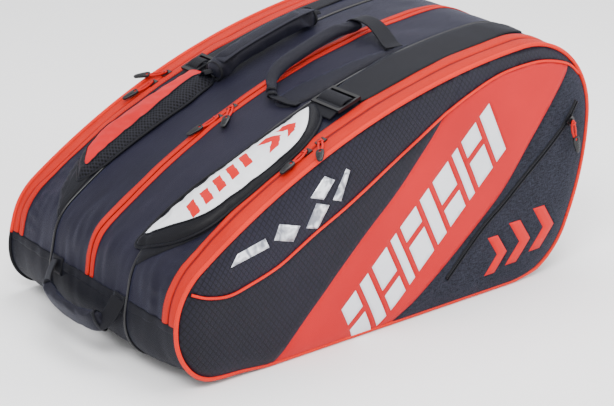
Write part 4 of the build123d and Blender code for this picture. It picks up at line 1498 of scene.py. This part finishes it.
def pull_parts(name, o, U, V, W, body, h0, l0=12.0, l1=50.0, droop=0.0, rep=()):
    """red cord loop through the slider's ring and a moulded finger tab; the pull points along -U"""
    def P(u, v, w):
        return o + U * u + V * v + W * (w + h0)
    loop = []
    for a in np.linspace(0, 2 * math.pi, 33)[:-1]:
        u = -15.5 + 16.5 * math.cos(a)
        v = 3.0 * math.sin(a) * (1.0 if u > -20 else 0.8)
        loop.append(P(u, v, 1.2 + 0.7 * math.cos(2 * a)))
    c = tube(f"{name}_cord", loop, 1.75, closed=True, seg=8, up=tuple(W))
    setmat(c, M['cord'])
    k = tube(f"{name}_knot", [P(-4.4, -4.6, 1.4), P(-4.0, -1.6, 3.4), P(-4.4, 1.6, 3.4), P(-4.0, 4.6, 1.4), P(-5.4, 2.0, 0.2),
                              P(-5.2, -2.0, 0.2)], 1.15, closed=True, seg=8, up=tuple(W))
    setmat(k, M['cord'])
    # finger tab: rounded, waisted and slightly bowed
    half = [(-26.0, 2.8), (-27.6, 5.0), (-31.0, 6.0), (-36.0, 6.0), (-41.0, 5.4), (-46.0, 4.6), (-50.0, 3.8), (-52.2, 2.0),
            (-52.8, 0.0)]
    outl = catmull([(a, b) for a, b in half] + [(a, -b) for a, b in half[::-1][1:]], 4, True)
    hole = np.array([(-30.2 + 2.2 * math.cos(a), 2.0 * math.sin(a)) for a in np.linspace(0, 2 * math.pi, 17)[:-1]])
    v2, tri = cdt(resample(outl, 1.6), [], [hole], 2.2)
    cc_ = v2[tri].mean(1)
    tri = tri[~in_poly(cc_[:, 0], cc_[:, 1], hole)]
    V3 = []
    for u, v in v2:
        V3.append(P(u, v, 1.9 + 0.5 * math.sin((u + 26) / 26 * math.pi * -1) + 0.8 * max(0, 1 - (v / 6.0) ** 2)))
    t = new_mesh(f"{name}_tab", V3, tri, v2)
    me = t.data
    if sum(p.normal.dot(Vector(W)) for p in me.polygons) < 0:
        me.flip_normals()
    m = t.modifiers.new("thickness", "SOLIDIFY"); m.thickness = 3.2 * MM; m.offset = 0
    m = t.modifiers.new("edge", "BEVEL"); m.width = 0.7 * MM; m.segments = 2; m.limit_method = 'ANGLE'
    setmat(t, M['plastic'])
    # raised ribs on the tab
    ribs = []
    for j, u in enumerate((-37.5, -40.5, -43.5, -46.5)):
        r_ = tube("r", [P(u, a, 4.1 + 0.5 * math.sin((u + 26) / 26 * -math.pi)) for a in (-3.0, -1, 1, 3.0)], 0.6, seg=6, up=tuple(W))
        ribs.append(r_)
    rb = join(f"{name}_ribs", ribs)
    setmat(rb, M['plastic'])
    for q in (c, k, t, rb):
        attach(q, body)
    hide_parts(*rep)


for zone, ty, d0, xs, yaws in (("near", -190, 3.0, (-137, -112), (8, 50)), ("mid", 0, 8.0, (-148, -123), (-8, 38)),
                               ("far", 190, 3.0, (-137, -112), (-8, -50))):
    for q, x, yaw in zip(("left", "right"), xs, yaws):
        o, U, V, W = frame_at(x, d0, yaw, ty)
        pull_parts(f"{zone}_{q}", o, U, V, W, f"{zone}_{q}_pull", 4.6 - 1.2, rep=(f"{zone}_pull_{q}",))

# pocket pull hangs from its slider
o = np.array((326.0, -236.6, 246.0))
tl = math.radians(14)
W = np.array((0, -1.0, 0))
U = -np.array((math.sin(tl), 0, -math.cos(tl)))
V = np.cross(W, U)
pull_parts("pocket", o, U, V, W, "pocket_pull", -1.0, rep=("pocket_pull",))
# @@STRAPS_END@@

# ------------------------------------------------------------------ floor and light
bpy.ops.mesh.primitive_plane_add(size=14, location=(0, 0, -0.0006))
floor = bpy.context.object
floor.name = "floor"
fm, fnt, fb = mat_base("floor_pale", (0.93, 0.93, 0.94), 0.8, 0.1)
floor.data.materials.append(fm)
world = bpy.data.worlds.new("studio")
world.use_nodes = True
world.node_tree.nodes["Background"].inputs["Color"].default_value = (1, 1, 1, 1)
world.node_tree.nodes["Background"].inputs["Strength"].default_value = 1.15
bpy.context.scene.world = world


def area(name, loc, target, size, power):
    l = bpy.data.lights.new(name, "AREA")
    l.shape = "RECTANGLE"
    l.size, l.size_y = size
    l.energy = power
    o = bpy.data.objects.new(name, l)
    bpy.context.scene.collection.objects.link(o)
    o.location = loc
    o.rotation_euler = (Vector(target) - Vector(loc)).to_track_quat("-Z", "Y").to_euler()
    return o


area("key", (-1.6, -1.6, 2.6), (0, 0, 0.2), (1.8, 1.2), 120)
area("top", (0.6, 0.4, 2.8), (0, 0, 0.2), (2.2, 1.6), 75)
area("fill", (1.8, -1.8, 1.2), (0, 0, 0.2), (1.6, 1.2), 46)
